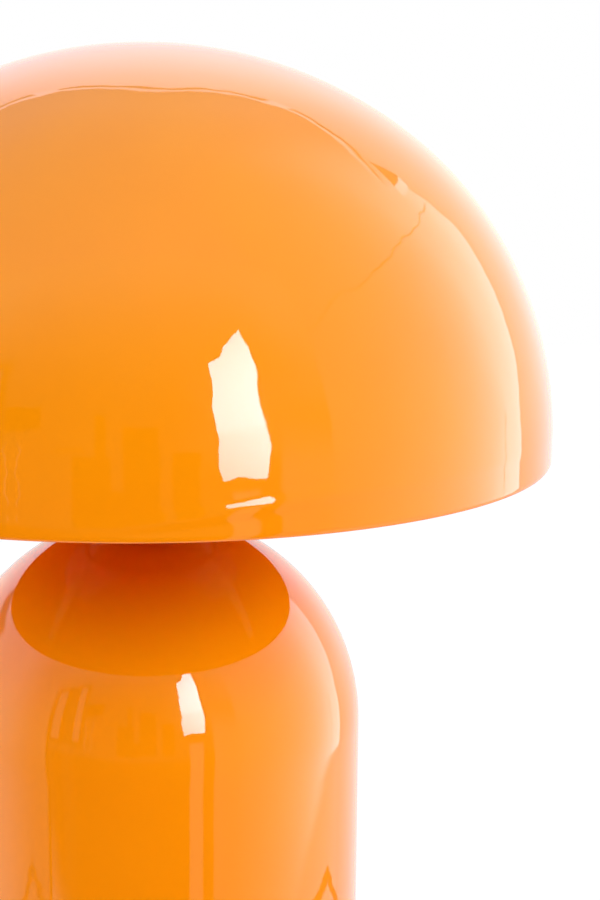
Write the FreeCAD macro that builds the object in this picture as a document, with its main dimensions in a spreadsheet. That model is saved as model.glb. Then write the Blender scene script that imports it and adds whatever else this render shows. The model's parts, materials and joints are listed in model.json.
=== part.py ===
"""Table lamp: a lift-off dome shade over a bullet base, with a screw-in bulb.

Millimetres, +Z up. The origin is the centre of the face that rests on the table, and the
cord inlet is at the back, on the +Y side.
"""
import FreeCAD, Part
import math
import os
import re
import Sketcher

DRIVING_SIZES = {
    # Shade
    "shade_radius": 180,
    "shade_height": 180,
    "shade_skirt": 11,
    "shade_wall": 1.1,
    "shade_rim_round": 0.4,
    "shade_rim_rise": 9.5,
    # Spider inside the shade
    "spider_sheet": 1.5,
    "hub_opening": 34,
    "hub_skirt": 5,
    "hub_gap": 0.4,
    "arm_width": 14,
    "arm_sheet": 2,
    "arm_count": 3,
    "tab_foot": 14,
    "tab_length": 20,
    "weld_gap": 0.06,
    # Seat of the shade and the ring that clamps it
    "seat_radius": 42,
    "seat_sheet": 1.5,
    "ring_flange_radius": 28.5,
    "ring_flange": 2.5,
    "ring_hub_radius": 24,
    "ring_height": 9,
    # Base
    "base_radius": 96,
    "base_height": 269,
    "base_wall": 1.2,
    "base_bend": 3,
    "lip_width": 18,
    "plate_thickness": 2,
    "plate_reveal": 4,
    "felt_thickness": 1.5,
    "felt_inset": 3,
    # Weight and its bolt
    "weight_gap": 6,
    "weight_height": 16,
    "bolt_radius": 3,
    "bolt_head_radius": 5.6,
    "bolt_end": 1.5,
    "bolt_nut_flats": 10,
    "bolt_nut_height": 5,
    "bolt_washer_radius": 9,
    "bolt_washer": 1.2,
    # Screws of the bottom plate
    "screw_count": 4,
    "screw_radius": 2,
    "screw_head_radius": 3.8,
    "screw_end": 1,
    "screw_nut_flats": 7,
    "screw_nut_height": 3.2,
    # Cord inlet
    "inlet_height": 26,
    "inlet_bore": 3.5,
    "bushing_radius": 5,
    "bushing_flange_radius": 7.5,
    "bushing_flange": 2.5,
    "bushing_inside": 9,
    "bushing_nut_flats": 14,
    "bushing_nut_height": 3.5,
    # Terminal block on the weight
    "block_width": 34,
    "block_depth": 18,
    "block_floor": 3.2,
    "block_height": 14,
    "block_inset": 21,
    "pole_pitch": 11,
    "pole_width": 8,
    "sleeve_tube_radius": 2.4,
    "sleeve_tube_bore": 1.5,
    "sleeve_tube_inset": 1,
    "terminal_screw_radius": 1.3,
    "terminal_screw_height": 4,
    "terminal_screw_spacing": 9,
    "block_screw_radius": 1.4,
    "block_screw_head_radius": 2.2,
    "block_screw_head": 1.4,
    "block_screw_depth": 7,
    # Inner wiring
    "wire_radius": 1.1,
    "wire_spacing": 2.2,
    "wire_grip": 4.4,
    "wire_lead": 13.2,
    # Nipple and what it clamps
    "nipple_radius": 5,
    "nipple_bore": 3.8,
    "nipple_below": 14,
    "nipple_above": 6,
    "inner_washer_radius": 11,
    "inner_washer": 1.2,
    "earth_tag_radius": 9,
    "earth_tag_sheet": 0.8,
    "earth_tab_width": 6,
    "earth_tab_reach": 15,
    "inner_nut_flats": 14,
    "inner_nut_height": 4,
    "saddle_radius": 15,
    "saddle_rise": 1.5,
    # Lampholder
    "cap_radius": 21.5,
    "cap_height": 18.5,
    "cap_wall": 2,
    "cap_floor": 3,
    "cap_round": 6,
    "ledge_height": 10,
    "ledge_width": 2.3,
    "sleeve_wall": 2,
    "sleeve_rise": 28,
    "sleeve_lip": 2,
    "sleeve_lip_opening": 14.6,
    "insert_flange": 2,
    "insert_boss": 8,
    "insert_foot": 1.5,
    "insert_foot_radius": 15,
    "insert_wire_depth": 4,
    "insert_screw_offset": 9,
    "insert_screw_radius": 1.5,
    "insert_screw_head_radius": 2.6,
    "insert_screw_head": 1.8,
    "insert_screw_depth": 5,
    "shell_bore": 13.5,
    "shell_sheet": 0.5,
    "shell_height": 23,
    "shell_flange_opening": 9.5,
    "contact_radius": 5,
    "contact_tongue_radius": 3,
    "contact_sheet": 0.6,
    "contact_rise": 2.3,
    # Bulb
    "bulb_radius": 30,
    "bulb_length": 106,
    "bulb_wall": 0.8,
    "bulb_neck_radius": 12.6,
    "bulb_flare": 35,
    "bulb_cap_radius": 13.2,
    "bulb_cap_sheet": 0.4,
    "bulb_cap_height": 20,
    "bulb_cap_foot": 6.5,
    "bulb_thread_pitch": 3.62,
    "bulb_thread_turns": 4,
    "bulb_thread_depth": 0.9,
    "bulb_foot_radius": 9.5,
    "bulb_tip_radius": 4.8,
    "bulb_tip_height": 1.6,
    "stem_radius": 4,
    "stem_height": 30,
    "stem_flange": 2,
    "stem_flange_gap": 0.3,
    "filament_count": 4,
    "filament_radius": 0.9,
    "filament_length": 34,
    "filament_low_circle": 6,
    "filament_high_circle": 9,
    "support_radius": 0.45,
    # Clearances
    "thread_gap": 0.1,
    "hole_gap": 0.2,
    "face_gap": 0.05,
    "contact_gap": 0.2,
}

# Sizes worked out from the driving ones, as formulas of the same sheet
WORKED_OUT = {
    # Levels of the base, from the table up
    "plate_top": "felt_thickness + plate_thickness",
    "lip_top": "plate_top + base_wall",
    "weight_top": "plate_top + weight_height",
    "dome_centre": "base_height - base_radius",
    "inner_radius": "base_radius - base_wall",
    "lip_radius": "base_radius - lip_width",
    "screw_circle": "base_radius - (lip_width + base_wall) / 2",
    "plate_radius": "base_radius - plate_reveal",
    "weight_radius": "lip_radius - weight_gap",
    "block_offset": "weight_radius - block_inset - block_depth / 2",
    "pole_height": "weight_top + block_floor + sleeve_tube_radius + thread_gap",
    "bushing_nut_corner": "bushing_nut_flats / 2 / cos(30)",
    "bushing_nut_face": "sqrt(inner_radius ^ 2 - bushing_nut_corner ^ 2) - face_gap",
    # Levels on the nipple
    "washer_top": "dome_centre + sqrt(inner_radius ^ 2 - inner_washer_radius ^ 2) - face_gap",
    "tag_top": "washer_top - inner_washer",
    "inner_nut_top": "tag_top - earth_tag_sheet",
    "nipple_bottom": "inner_nut_top - nipple_below",
    # Levels of the lampholder
    "cap_bottom": "base_height + saddle_rise",
    "nipple_top": "cap_bottom + nipple_above",
    "ledge_top": "cap_bottom + ledge_height",
    "shoulder": "cap_bottom + cap_height",
    "cap_bore": "cap_radius - cap_wall",
    "ledge_radius": "cap_bore - ledge_width",
    "sleeve_radius": "cap_bore - thread_gap",
    "sleeve_bore": "sleeve_radius - sleeve_wall",
    "sleeve_bottom": "ledge_top + insert_flange",
    "insert_top": "sleeve_bottom + insert_boss",
    "insert_bottom": "ledge_top - insert_foot",
    "seat_top": "shoulder + seat_sheet",
    # Shade: a skirt, a shoulder arc and a crown arc that meet tangent
    "rim_height": "seat_top + shade_rim_rise",
    "dome_rise": "shade_height - shade_skirt",
    "shoulder_arc": "2 * dome_rise ^ 2 / (shade_radius + dome_rise)",
    "shoulder_centre": "shade_radius - shoulder_arc",
    "crown_drop": "(shoulder_centre ^ 2 - (dome_rise - shoulder_arc) ^ 2) / 2 / (dome_rise - shoulder_arc)",
    "crown_arc": "dome_rise + crown_drop",
    "turn_across": "shoulder_centre / (crown_arc - shoulder_arc)",
    "turn_up": "crown_drop / (crown_arc - shoulder_arc)",
    "crown_centre": "shade_skirt - crown_drop",
    # Spider
    "hub_bore": "seat_radius + hub_gap",
    "hub_radius": "hub_bore + spider_sheet",
    "tab_gap": "weld_gap + arm_width ^ 2 / 8 / (shade_radius - shade_wall - tab_length)",
    "tab_arc": "shoulder_arc - shade_wall - tab_gap",
    "tab_inner_arc": "tab_arc - arm_sheet",
    "tab_low": "tab_foot - shade_skirt",
    "tab_high": "tab_low + tab_length",
    # Bulb, from the tip of its contact up
    "bulb_bottom": "insert_top + contact_rise + contact_gap",
    "bulb_cap_top": "bulb_cap_foot + bulb_cap_height",
    "bulb_thread_foot": "bulb_cap_foot + bulb_cap_sheet",
    "bulb_thread_top": "bulb_thread_foot + bulb_thread_turns * bulb_thread_pitch",
    "bulb_skirt_foot": "bulb_thread_top + bulb_thread_depth",
    "bulb_centre": "bulb_length - bulb_radius",
    "flare_across": "bulb_neck_radius + bulb_flare",
    "flare_drop": "sqrt((bulb_radius + bulb_flare) ^ 2 - flare_across ^ 2)",
    "flare_share": "1 / (bulb_radius + bulb_flare)",
    "stem_bottom": "bulb_cap_top - stem_flange",
    "stem_top": "stem_bottom + stem_height",
}

doc = FreeCAD.newDocument("table_lamp")
sheet = doc.addObject("Spreadsheet::Sheet", "Sizes")
pieces = []


def fill_sheet():
    """Write every size to the sheet, each under its own alias."""
    cells = {name: str(value) for name, value in DRIVING_SIZES.items()}
    cells.update({name: "=" + formula for name, formula in WORKED_OUT.items()})
    for row, (name, content) in enumerate(cells.items(), start=1):
        sheet.set(f"A{row}", name)
        sheet.setAlias(f"B{row}", name)
        sheet.set(f"B{row}", content)
    doc.recompute()


def sized(formula):
    """The formula with each size's name turned into a reference to the sheet."""
    known = set(DRIVING_SIZES) | set(WORKED_OUT)
    return re.sub(r"[a-z_]+", lambda word: f"Sizes.{word[0]}" if word[0] in known else word[0], str(formula))


def value(formula):
    """The formula's present value as a plain number."""
    result = sheet.evalExpression(sized(formula))
    return float(getattr(result, "Value", result))


def bind(thing, **formulas):
    """Bind properties of an object to formulas; two underscores stand for a dot."""
    for name, formula in formulas.items():
        thing.setExpression(name.replace("__", "."), sized(formula))
    return thing


def place(thing, across=0, back=0, up=0):
    """Put an object at a place that follows the sheet."""
    return bind(thing, Placement__Base__x=across, Placement__Base__y=back, Placement__Base__z=up)


def keep(label, thing):
    """Name a finished sub-part; its label names its file."""
    thing.Label = label
    pieces.append(thing)
    return thing


def new_body(name):
    return doc.addObject("PartDesign::Body", name)


def new_sketch(body, name, role):
    """A sketch on one of the body's own origin planes."""
    plane = next(feature for feature in body.Origin.OriginFeatures if feature.Role == role)
    sketch = body.newObject("Sketcher::SketchObject", name)
    sketch.AttachmentSupport = [(plane, "")]
    sketch.MapMode = "FlatFace"
    return sketch


def arc_between(start, end, radius, turn):
    """The short arc from start to end; turn is 1 where it bends left and -1 where it bends right."""
    chord = end - start
    middle = (start + end) / 2
    left = FreeCAD.Vector(-chord.y, chord.x, 0) / chord.Length
    centre = middle + left * turn * math.sqrt(max(radius ** 2 - chord.Length ** 2 / 4, 0))
    first, last = (start, end) if turn > 0 else (end, start)
    angles = [math.atan2(point.y - centre.y, point.x - centre.x) for point in (first, last)]
    circle = Part.Circle(centre, FreeCAD.Vector(0, 0, 1), radius)
    return Part.ArcOfCircle(circle, angles[0], angles[1])


def pin_point(sketch, edge, end, across, up):
    """Hold one end of an edge at formulas for its two coordinates."""
    for kind, formula, axis in (("DistanceX", across, -2), ("DistanceY", up, -1)):
        if formula == 0:
            sketch.addConstraint(Sketcher.Constraint("PointOnObject", edge, end, axis))
            continue
        index = sketch.addConstraint(Sketcher.Constraint(kind, edge, end, value(formula)))
        sketch.setExpression(f"Constraints[{index}]", sized(formula))


def draw_outline(sketch, corners):
    """A closed outline. A corner is (across, up), with (radius, turn) added where an arc leads to it."""
    points = [FreeCAD.Vector(value(corner[0]), value(corner[1]), 0) for corner in corners]
    ends = []
    for number, corner in enumerate(corners):
        start = points[number - 1]
        if len(corner) == 2:
            edge = sketch.addGeometry(Part.LineSegment(start, points[number]))
            ends.append((edge, 1, 2))
            continue
        edge = sketch.addGeometry(arc_between(start, points[number], value(corner[2]), corner[3]))
        ends.append((edge, 1, 2) if corner[3] > 0 else (edge, 2, 1))
        index = sketch.addConstraint(Sketcher.Constraint("Radius", edge, value(corner[2])))
        sketch.setExpression(f"Constraints[{index}]", sized(corner[2]))
    for number, corner in enumerate(corners):
        edge, _, finish = ends[number]
        following, begin, _ = ends[(number + 1) % len(ends)]
        sketch.addConstraint(Sketcher.Constraint("Coincident", edge, finish, following, begin))
        pin_point(sketch, edge, finish, corner[0], corner[1])


def revolved(name, corners, up=0):
    """A body turned about the Z axis from an outline of (radius, height) corners."""
    body = new_body(name)
    sketch = new_sketch(body, f"{name}_outline", "XZ_Plane")
    draw_outline(sketch, corners)
    turn = body.newObject("PartDesign::Revolution", f"{name}_turn")
    turn.Profile = sketch
    turn.ReferenceAxis = (sketch, ["V_Axis"])
    turn.Angle = 360
    return place(body, up=up)


def tube(name, inner, outer, low, high):
    """A plain turned ring or tube, between two levels."""
    height = f"{high} - ({low})"
    return revolved(name, [(inner, 0), (outer, 0), (outer, height), (inner, height)], low)


def cylinder(name, radius, height, across=0, back=0, up=0):
    thing = doc.addObject("Part::Cylinder", name)
    bind(thing, Radius=radius, Height=height)
    return place(thing, across, back, up)


def cone(name, low_radius, high_radius, height, across=0, back=0, up=0):
    thing = doc.addObject("Part::Cone", name)
    bind(thing, Radius1=low_radius, Radius2=high_radius, Height=height)
    return place(thing, across, back, up)


def hexagon(name, flats, height, across=0, back=0, up=0):
    thing = doc.addObject("Part::Prism", name)
    thing.Polygon = 6
    bind(thing, Circumradius=f"({flats}) / 2 / cos(30)", Height=height)
    return place(thing, across, back, up)


def block(name, width, depth, height, across=0, back=0, up=0):
    """A box whose place is the centre of its lower face."""
    thing = doc.addObject("Part::Box", name)
    bind(thing, Length=width, Width=depth, Height=height)
    return place(thing, f"({across}) - ({width}) / 2", f"({back}) - ({depth}) / 2", up)


def lie_back(thing):
    """Turn an upright piece so that its own axis points to the back."""
    thing.Placement.Rotation = FreeCAD.Rotation(FreeCAD.Vector(1, 0, 0), -90)
    return thing


def group(name, members):
    thing = doc.addObject("Part::Compound", name)
    thing.Links = members
    return thing


def fuse(name, members):
    thing = doc.addObject("Part::MultiFuse", name)
    thing.Shapes = members
    return thing


def cut(name, base, tools):
    thing = doc.addObject("Part::Cut", name)
    thing.Base = base
    thing.Tool = tools[0] if len(tools) == 1 else fuse(f"{name}_tools", tools)
    return thing


def around(count, circle, first=0):
    """Formulas for the places of pieces spaced evenly on a circle."""
    angles = [first + 360 * number / count for number in range(count)]
    return [(f"({circle}) * cos({angle})", f"({circle}) * sin({angle})") for angle in angles]


def screw_places():
    count = int(value("screw_count"))
    return around(count, "screw_circle", 180 / count)


def build_shade():
    """Spun dome: rim, skirt, shoulder arc and crown arc, in sheet of one thickness."""
    inside = "shade_radius - shade_wall"
    corners = [
        (f"{inside} + shade_rim_round", 0, "shade_rim_round", 1),
        ("shade_radius - shade_rim_round", 0),
        ("shade_radius", "shade_rim_round", "shade_rim_round", 1),
        ("shade_radius", "shade_skirt"),
        ("crown_arc * turn_across", "crown_centre + crown_arc * turn_up", "shoulder_arc", 1),
        (0, "shade_height", "crown_arc", 1),
        (0, "shade_height - shade_wall"),
        (
            "(crown_arc - shade_wall) * turn_across",
            "crown_centre + (crown_arc - shade_wall) * turn_up",
            "crown_arc - shade_wall",
            -1,
        ),
        (inside, "shade_skirt", "shoulder_arc - shade_wall", -1),
        (inside, "shade_rim_round"),
    ]
    keep("shade_dome", revolved("shade_dome", corners, "rim_height"))


def build_spider():
    """Hub that caps the seat, with arms that rise to tabs on the inside of the dome."""
    hub = revolved("shade_spider", [
        ("hub_bore", "0 - hub_skirt"),
        ("hub_radius", "0 - hub_skirt"),
        ("hub_radius", "spider_sheet"),
        ("hub_opening", "spider_sheet"),
        ("hub_opening", 0),
        ("hub_bore", 0),
    ], "seat_top")

    def wall(arc, height):
        """Place on an arc inside the dome's shoulder, at a height above the skirt."""
        across = f"shoulder_centre + sqrt(({arc}) ^ 2 - ({height}) ^ 2)"
        return across, f"shade_rim_rise + shade_skirt + {height}"

    sketch = new_sketch(hub, "spider_arm_outline", "YZ_Plane")
    elbow = wall("tab_inner_arc", "(tab_low + arm_sheet)")
    draw_outline(sketch, [
        ("hub_bore + thread_gap", "0 - arm_sheet"),
        wall("tab_arc", "tab_low"),
        wall("tab_arc", "tab_high") + ("tab_arc", 1),
        wall("tab_inner_arc", "tab_high"),
        elbow + ("tab_inner_arc", -1),
        ("hub_bore + thread_gap", 0),
    ])
    arm = hub.newObject("PartDesign::Pad", "spider_arm")
    arm.Profile = sketch
    arm.SideType = "Symmetric"
    bind(arm, Length="arm_width")
    doc.recompute()
    arms = hub.newObject("PartDesign::PolarPattern", "spider_arms")
    arms.Originals = [arm]
    arms.Axis = (next(axis for axis in hub.Origin.OriginFeatures if axis.Role == "Z_Axis"), [""])
    arms.Angle = 360
    bind(arms, Occurrences="arm_count")
    hub.Tip = arms
    keep("shade_spider", hub)


def build_seat():
    """Disc on the lampholder's shoulder, and the threaded ring that clamps it."""
    keep("shade_seat", tube("shade_seat", "sleeve_radius + hole_gap", "seat_radius", "shoulder", "seat_top"))
    keep("shade_ring", revolved("shade_ring", [
        ("sleeve_radius + thread_gap", 0),
        ("ring_flange_radius", 0),
        ("ring_flange_radius", "ring_flange"),
        ("ring_hub_radius", "ring_flange"),
        ("ring_hub_radius", "ring_height"),
        ("sleeve_radius + thread_gap", "ring_height"),
    ], "seat_top"))


def build_base_shell():
    """Bullet of one sheet: lip turned in at the foot, straight wall, half-ball top with a hole."""
    hole = "nipple_radius + hole_gap"
    centre = "dome_centre - plate_top"
    shell = revolved("base_blank", [
        ("lip_radius", 0),
        ("base_radius - base_bend", 0),
        ("base_radius", "base_bend", "base_bend", 1),
        ("base_radius", centre),
        (hole, f"{centre} + sqrt(base_radius ^ 2 - ({hole}) ^ 2)", "base_radius", 1),
        (hole, f"{centre} + sqrt(inner_radius ^ 2 - ({hole}) ^ 2)"),
        ("inner_radius", centre, "inner_radius", -1),
        ("inner_radius", "base_bend"),
        ("base_radius - base_bend", "base_wall", "base_bend - base_wall", -1),
        ("lip_radius", "base_wall"),
    ], "plate_top")
    inlet = cylinder("inlet_hole", "bushing_radius + hole_gap", "base_radius", up="inlet_height")
    tools = [lie_back(inlet)]
    for number, (across, back) in enumerate(screw_places()):
        tools.append(cylinder(f"lip_hole_{number}", "screw_radius + hole_gap", "lip_top", across, back))
    keep("base_shell", cut("base_shell", shell, tools))


def build_bottom():
    """Felt, plate, countersunk screws and the nuts welded on the lip."""
    keep("felt_pad", cylinder("felt_pad", "plate_radius - felt_inset", "felt_thickness"))
    disc = cylinder("plate_blank", "plate_radius", "plate_thickness", up="felt_thickness")
    sinks = [cone("bolt_sink", "bolt_head_radius + thread_gap", "bolt_radius + thread_gap", "plate_thickness",
                  up="felt_thickness")]
    screws = []
    nuts = []
    for number, spot in enumerate(screw_places()):
        sinks.append(cone(f"screw_sink_{number}", "screw_head_radius + thread_gap",
                          "screw_radius + thread_gap", "plate_thickness", *spot, "felt_thickness"))
        head = cone(f"screw_head_{number}", "screw_head_radius", "screw_radius", "plate_thickness", *spot,
                    "felt_thickness")
        shank = cylinder(f"screw_shank_{number}", "screw_radius", "base_wall + screw_nut_height + screw_end",
                         *spot, "plate_top")
        screws.append(fuse(f"screw_{number}", [head, shank]))
        nut = hexagon(f"nut_blank_{number}", "screw_nut_flats", "screw_nut_height", *spot, "lip_top")
        bore = cylinder(f"nut_bore_{number}", "screw_radius + thread_gap", "screw_nut_height", *spot,
                        "lip_top")
        nuts.append(cut(f"nut_{number}", nut, [bore]))
    keep("bottom_plate", cut("bottom_plate", disc, sinks))
    keep("plate_screws", group("plate_screws", screws))
    keep("weld_nuts", group("weld_nuts", nuts))


def block_screw_shank(name, side, gap):
    """Shank of the terminal block's screw on one side, or its hole where a gap is added."""
    return cylinder(name, f"block_screw_radius + {gap}", "block_screw_depth + block_floor",
                    f"{side} * pole_pitch / 2", "block_offset", "weight_top - block_screw_depth")


def build_weight():
    """Cast disc on the plate, held by a bolt through its middle and drilled for the terminal block."""
    disc = tube("weight_blank", "bolt_radius + hole_gap", "weight_radius", "plate_top", "weight_top")
    holes = [block_screw_shank(f"weight_hole_{side + 2}", side, "thread_gap") for side in (-1, 1)]
    keep("base_weight", cut("base_weight", disc, holes))
    keep("weight_bolt", revolved("weight_bolt", [
        (0, 0),
        ("bolt_head_radius", 0),
        ("bolt_radius", "plate_thickness"),
        ("bolt_radius", "plate_thickness + weight_height + bolt_washer + bolt_nut_height + bolt_end"),
        (0, "plate_thickness + weight_height + bolt_washer + bolt_nut_height + bolt_end"),
    ], "felt_thickness"))
    washer_top = "weight_top + bolt_washer"
    keep("weight_washer", tube("weight_washer", "bolt_radius + hole_gap", "bolt_washer_radius", "weight_top",
                               washer_top))
    nut = hexagon("weight_nut_blank", "bolt_nut_flats", "bolt_nut_height", up=washer_top)
    bore = cylinder("weight_nut_bore", "bolt_radius + thread_gap", "bolt_nut_height", up=washer_top)
    keep("weight_nut", cut("weight_nut", nut, [bore]))


def build_inlet():
    """Flanged bushing through the back wall and the nut behind it."""
    bushing = revolved("cord_bushing", [
        ("inlet_bore", "0 - base_wall - bushing_inside"),
        ("bushing_radius", "0 - base_wall - bushing_inside"),
        ("bushing_radius", 0),
        ("bushing_flange_radius", 0),
        ("bushing_flange_radius", "bushing_flange / 2"),
        ("bushing_flange_radius - bushing_flange / 2", "bushing_flange", "bushing_flange / 2", 1),
        ("inlet_bore", "bushing_flange"),
    ])
    keep("cord_bushing", place(lie_back(bushing), 0, "base_radius + face_gap", "inlet_height"))
    foot = "bushing_nut_face - bushing_nut_height"
    nut = lie_back(hexagon("bushing_nut_blank", "bushing_nut_flats", "bushing_nut_height", 0, foot,
                           "inlet_height"))
    bore = lie_back(cylinder("bushing_nut_bore", "bushing_radius + thread_gap", "bushing_nut_height", 0, foot,
                             "inlet_height"))
    keep("bushing_nut", cut("bushing_nut", nut, [bore]))


def build_terminal_block():
    """Three-pole block: a floor with three towers, a tube in each, and two screws above each tube."""
    solids = [block("block_floor", "block_width", "block_depth", "block_floor", 0, "block_offset",
                    "weight_top")]
    holes = []
    tubes = []
    screws = []
    tube_length = "block_depth - 2 * sleeve_tube_inset"
    tube_back = "block_offset - block_depth / 2 + sleeve_tube_inset"
    screw_foot = "pole_height + sleeve_tube_radius + face_gap"
    for pole in (-1, 0, 1):
        across = f"{pole} * pole_pitch"
        solids.append(block(f"tower_{pole + 2}", "pole_width", "block_depth", "block_height", across,
                            "block_offset", "weight_top"))
        holes.append(lie_back(cylinder(f"pole_hole_{pole + 2}", "sleeve_tube_radius + thread_gap",
                                       "block_depth", across, "block_offset - block_depth / 2",
                                       "pole_height")))
        outer = lie_back(cylinder(f"tube_{pole + 2}", "sleeve_tube_radius", tube_length, across, tube_back,
                                  "pole_height"))
        inner = lie_back(cylinder(f"tube_bore_{pole + 2}", "sleeve_tube_bore", tube_length, across, tube_back,
                                  "pole_height"))
        tubes.append(cut(f"tube_{pole + 2}_bored", outer, [inner]))
        for side in (-1, 1):
            back = f"block_offset + {side} * terminal_screw_spacing / 2"
            tag = f"{pole + 2}_{side + 2}"
            holes.append(cylinder(f"screw_well_{tag}", "terminal_screw_radius + thread_gap", "block_height",
                                  across, back, "pole_height"))
            screws.append(cylinder(f"terminal_screw_{tag}", "terminal_screw_radius", "terminal_screw_height",
                                   across, back, screw_foot))
    fixings = []
    for side in (-1, 1):
        spot = (f"{side} * pole_pitch / 2", "block_offset", "weight_top + block_floor")
        head = cylinder(f"fixing_head_{side + 2}", "block_screw_head_radius", "block_screw_head", *spot)
        shank = block_screw_shank(f"fixing_shank_{side + 2}", side, 0)
        fixings.append(fuse(f"fixing_{side + 2}", [head, shank]))
        holes.append(block_screw_shank(f"fixing_hole_{side + 2}", side, "thread_gap"))
        holes.append(cylinder(f"fixing_well_{side + 2}", "block_screw_head_radius + hole_gap", "block_height",
                              *spot))
    keep("terminal_block", cut("terminal_block", fuse("block_blank", solids), holes))
    keep("terminal_sleeves", group("terminal_sleeves", tubes))
    keep("terminal_screws", group("terminal_screws", screws))
    keep("block_screws", group("block_screws", fixings))


def build_nipple():
    """Hollow threaded tube through the top of the base, clamped by a washer, an earth tag and a nut."""
    keep("nipple", tube("nipple", "nipple_bore", "nipple_radius", "nipple_bottom", "nipple_top"))
    keep("inner_washer", tube("inner_washer", "nipple_radius + hole_gap", "inner_washer_radius", "tag_top",
                              "washer_top"))
    tag_ring = cylinder("tag_ring", "earth_tag_radius", "earth_tag_sheet", up="inner_nut_top")
    tag_tab = block("tag_tab", "earth_tab_width", "earth_tab_reach", "earth_tag_sheet", 0,
                    "earth_tab_reach / 2", "inner_nut_top")
    tag_hole = cylinder("tag_hole", "nipple_radius + hole_gap", "earth_tag_sheet", up="inner_nut_top")
    keep("earth_tag", cut("earth_tag", fuse("tag_blank", [tag_ring, tag_tab]), [tag_hole]))
    foot = "inner_nut_top - inner_nut_height"
    nut = hexagon("inner_nut_blank", "inner_nut_flats", "inner_nut_height", up=foot)
    bore = cylinder("inner_nut_bore", "nipple_radius + thread_gap", "inner_nut_height", up=foot)
    keep("inner_nut", cut("inner_nut", nut, [bore]))
    ball = "base_radius + face_gap"
    keep("saddle_washer", revolved("saddle_washer", [
        ("nipple_radius + hole_gap", f"dome_centre + sqrt(({ball}) ^ 2 - (nipple_radius + hole_gap) ^ 2)"),
        ("saddle_radius", f"dome_centre + sqrt(({ball}) ^ 2 - saddle_radius ^ 2)", ball, -1),
        ("saddle_radius", "cap_bottom"),
        ("nipple_radius + hole_gap", "cap_bottom"),
    ]))


def build_holder():
    """Lampholder: cap on the nipple, insert on the cap's ledge, sleeve screwed down on the insert."""
    keep("holder_cap", revolved("holder_cap", [
        ("nipple_radius + thread_gap", 0),
        ("cap_radius - cap_round", 0),
        ("cap_radius", "cap_round", "cap_round", 1),
        ("cap_radius", "cap_height"),
        ("cap_bore", "cap_height"),
        ("cap_bore", "ledge_height"),
        ("ledge_radius", "ledge_height"),
        ("ledge_radius", "cap_floor + cap_round / 2"),
        ("ledge_radius - cap_round / 2", "cap_floor", "cap_round / 2", -1),
        ("nipple_radius + thread_gap", "cap_floor"),
    ], "cap_bottom"))
    high = "shoulder + sleeve_rise - sleeve_bottom"
    keep("holder_sleeve", revolved("holder_sleeve", [
        ("sleeve_bore", 0),
        ("sleeve_radius", 0),
        ("sleeve_radius", high),
        ("sleeve_lip_opening", high),
        ("sleeve_lip_opening", f"{high} - sleeve_lip"),
        ("sleeve_bore", f"{high} - sleeve_lip"),
    ], "sleeve_bottom"))
    foot = "0 - insert_foot"
    insert = revolved("insert_blank", [
        (0, foot),
        ("insert_foot_radius", foot),
        ("insert_foot_radius", 0),
        ("cap_bore - hole_gap", 0),
        ("cap_bore - hole_gap", "insert_flange"),
        ("sleeve_bore - hole_gap", "insert_flange"),
        ("sleeve_bore - hole_gap", "insert_flange + insert_boss"),
        (0, "insert_flange + insert_boss"),
    ], "ledge_top")
    holes = []
    screws = []
    for side in (-1, 1):
        holes.append(cylinder(f"insert_wire_hole_{side + 2}", "wire_radius + hole_gap", "insert_wire_depth",
                              f"{side} * wire_spacing", 0, "insert_bottom"))
        across = f"{side} * insert_screw_offset"
        holes.append(cylinder(f"insert_screw_hole_{side + 2}", "insert_screw_radius + thread_gap",
                              "insert_screw_depth", across, 0, "insert_bottom"))
        stud = cylinder(f"insert_screw_shank_{side + 2}", "insert_screw_radius", "insert_screw_depth",
                        across, 0, "insert_bottom")
        head = cylinder(f"insert_screw_head_{side + 2}", "insert_screw_head_radius", "insert_screw_head",
                        across, 0, "insert_bottom - insert_screw_head")
        screws.append(fuse(f"insert_screw_{side + 2}", [stud, head]))
    keep("holder_insert", cut("holder_insert", insert, holes))
    keep("contact_screws", group("contact_screws", screws))
    keep("screw_shell", revolved("screw_shell", [
        ("shell_flange_opening", 0),
        ("shell_bore + shell_sheet", 0),
        ("shell_bore + shell_sheet", "shell_height"),
        ("shell_bore", "shell_height"),
        ("shell_bore", "shell_sheet"),
        ("shell_flange_opening", "shell_sheet"),
    ], "insert_top"))
    keep("centre_contact", revolved("centre_contact", [
        (0, 0),
        ("contact_radius", 0),
        ("contact_radius", "contact_sheet"),
        ("contact_tongue_radius", "contact_sheet"),
        ("contact_tongue_radius", "contact_rise"),
        (0, "contact_rise"),
    ], "insert_top"))


def build_bulb_glass():
    """Pear-shaped bulb: straight neck, flare and ball, meeting tangent."""

    def meeting(radius):
        """Where the ball of this radius passes into the flare."""
        across = f"({radius}) * flare_across * flare_share"
        return across, f"bulb_centre - ({radius}) * flare_drop * flare_share"

    foot = "bulb_skirt_foot + face_gap"
    bend = "bulb_centre - flare_drop"
    thin = "bulb_radius - bulb_wall"
    thin_neck = "bulb_neck_radius - bulb_wall"
    keep("bulb_glass", revolved("bulb_glass", [
        (thin_neck, foot),
        ("bulb_neck_radius", foot),
        ("bulb_neck_radius", bend),
        meeting("bulb_radius") + ("bulb_flare", -1),
        ("bulb_radius", "bulb_centre", "bulb_radius", 1),
        (0, "bulb_length", "bulb_radius", 1),
        (0, "bulb_length - bulb_wall"),
        (thin, "bulb_centre", thin, -1),
        meeting(thin) + (thin, -1),
        (thin_neck, bend, "bulb_flare + bulb_wall", 1),
    ], "bulb_bottom"))


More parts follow.
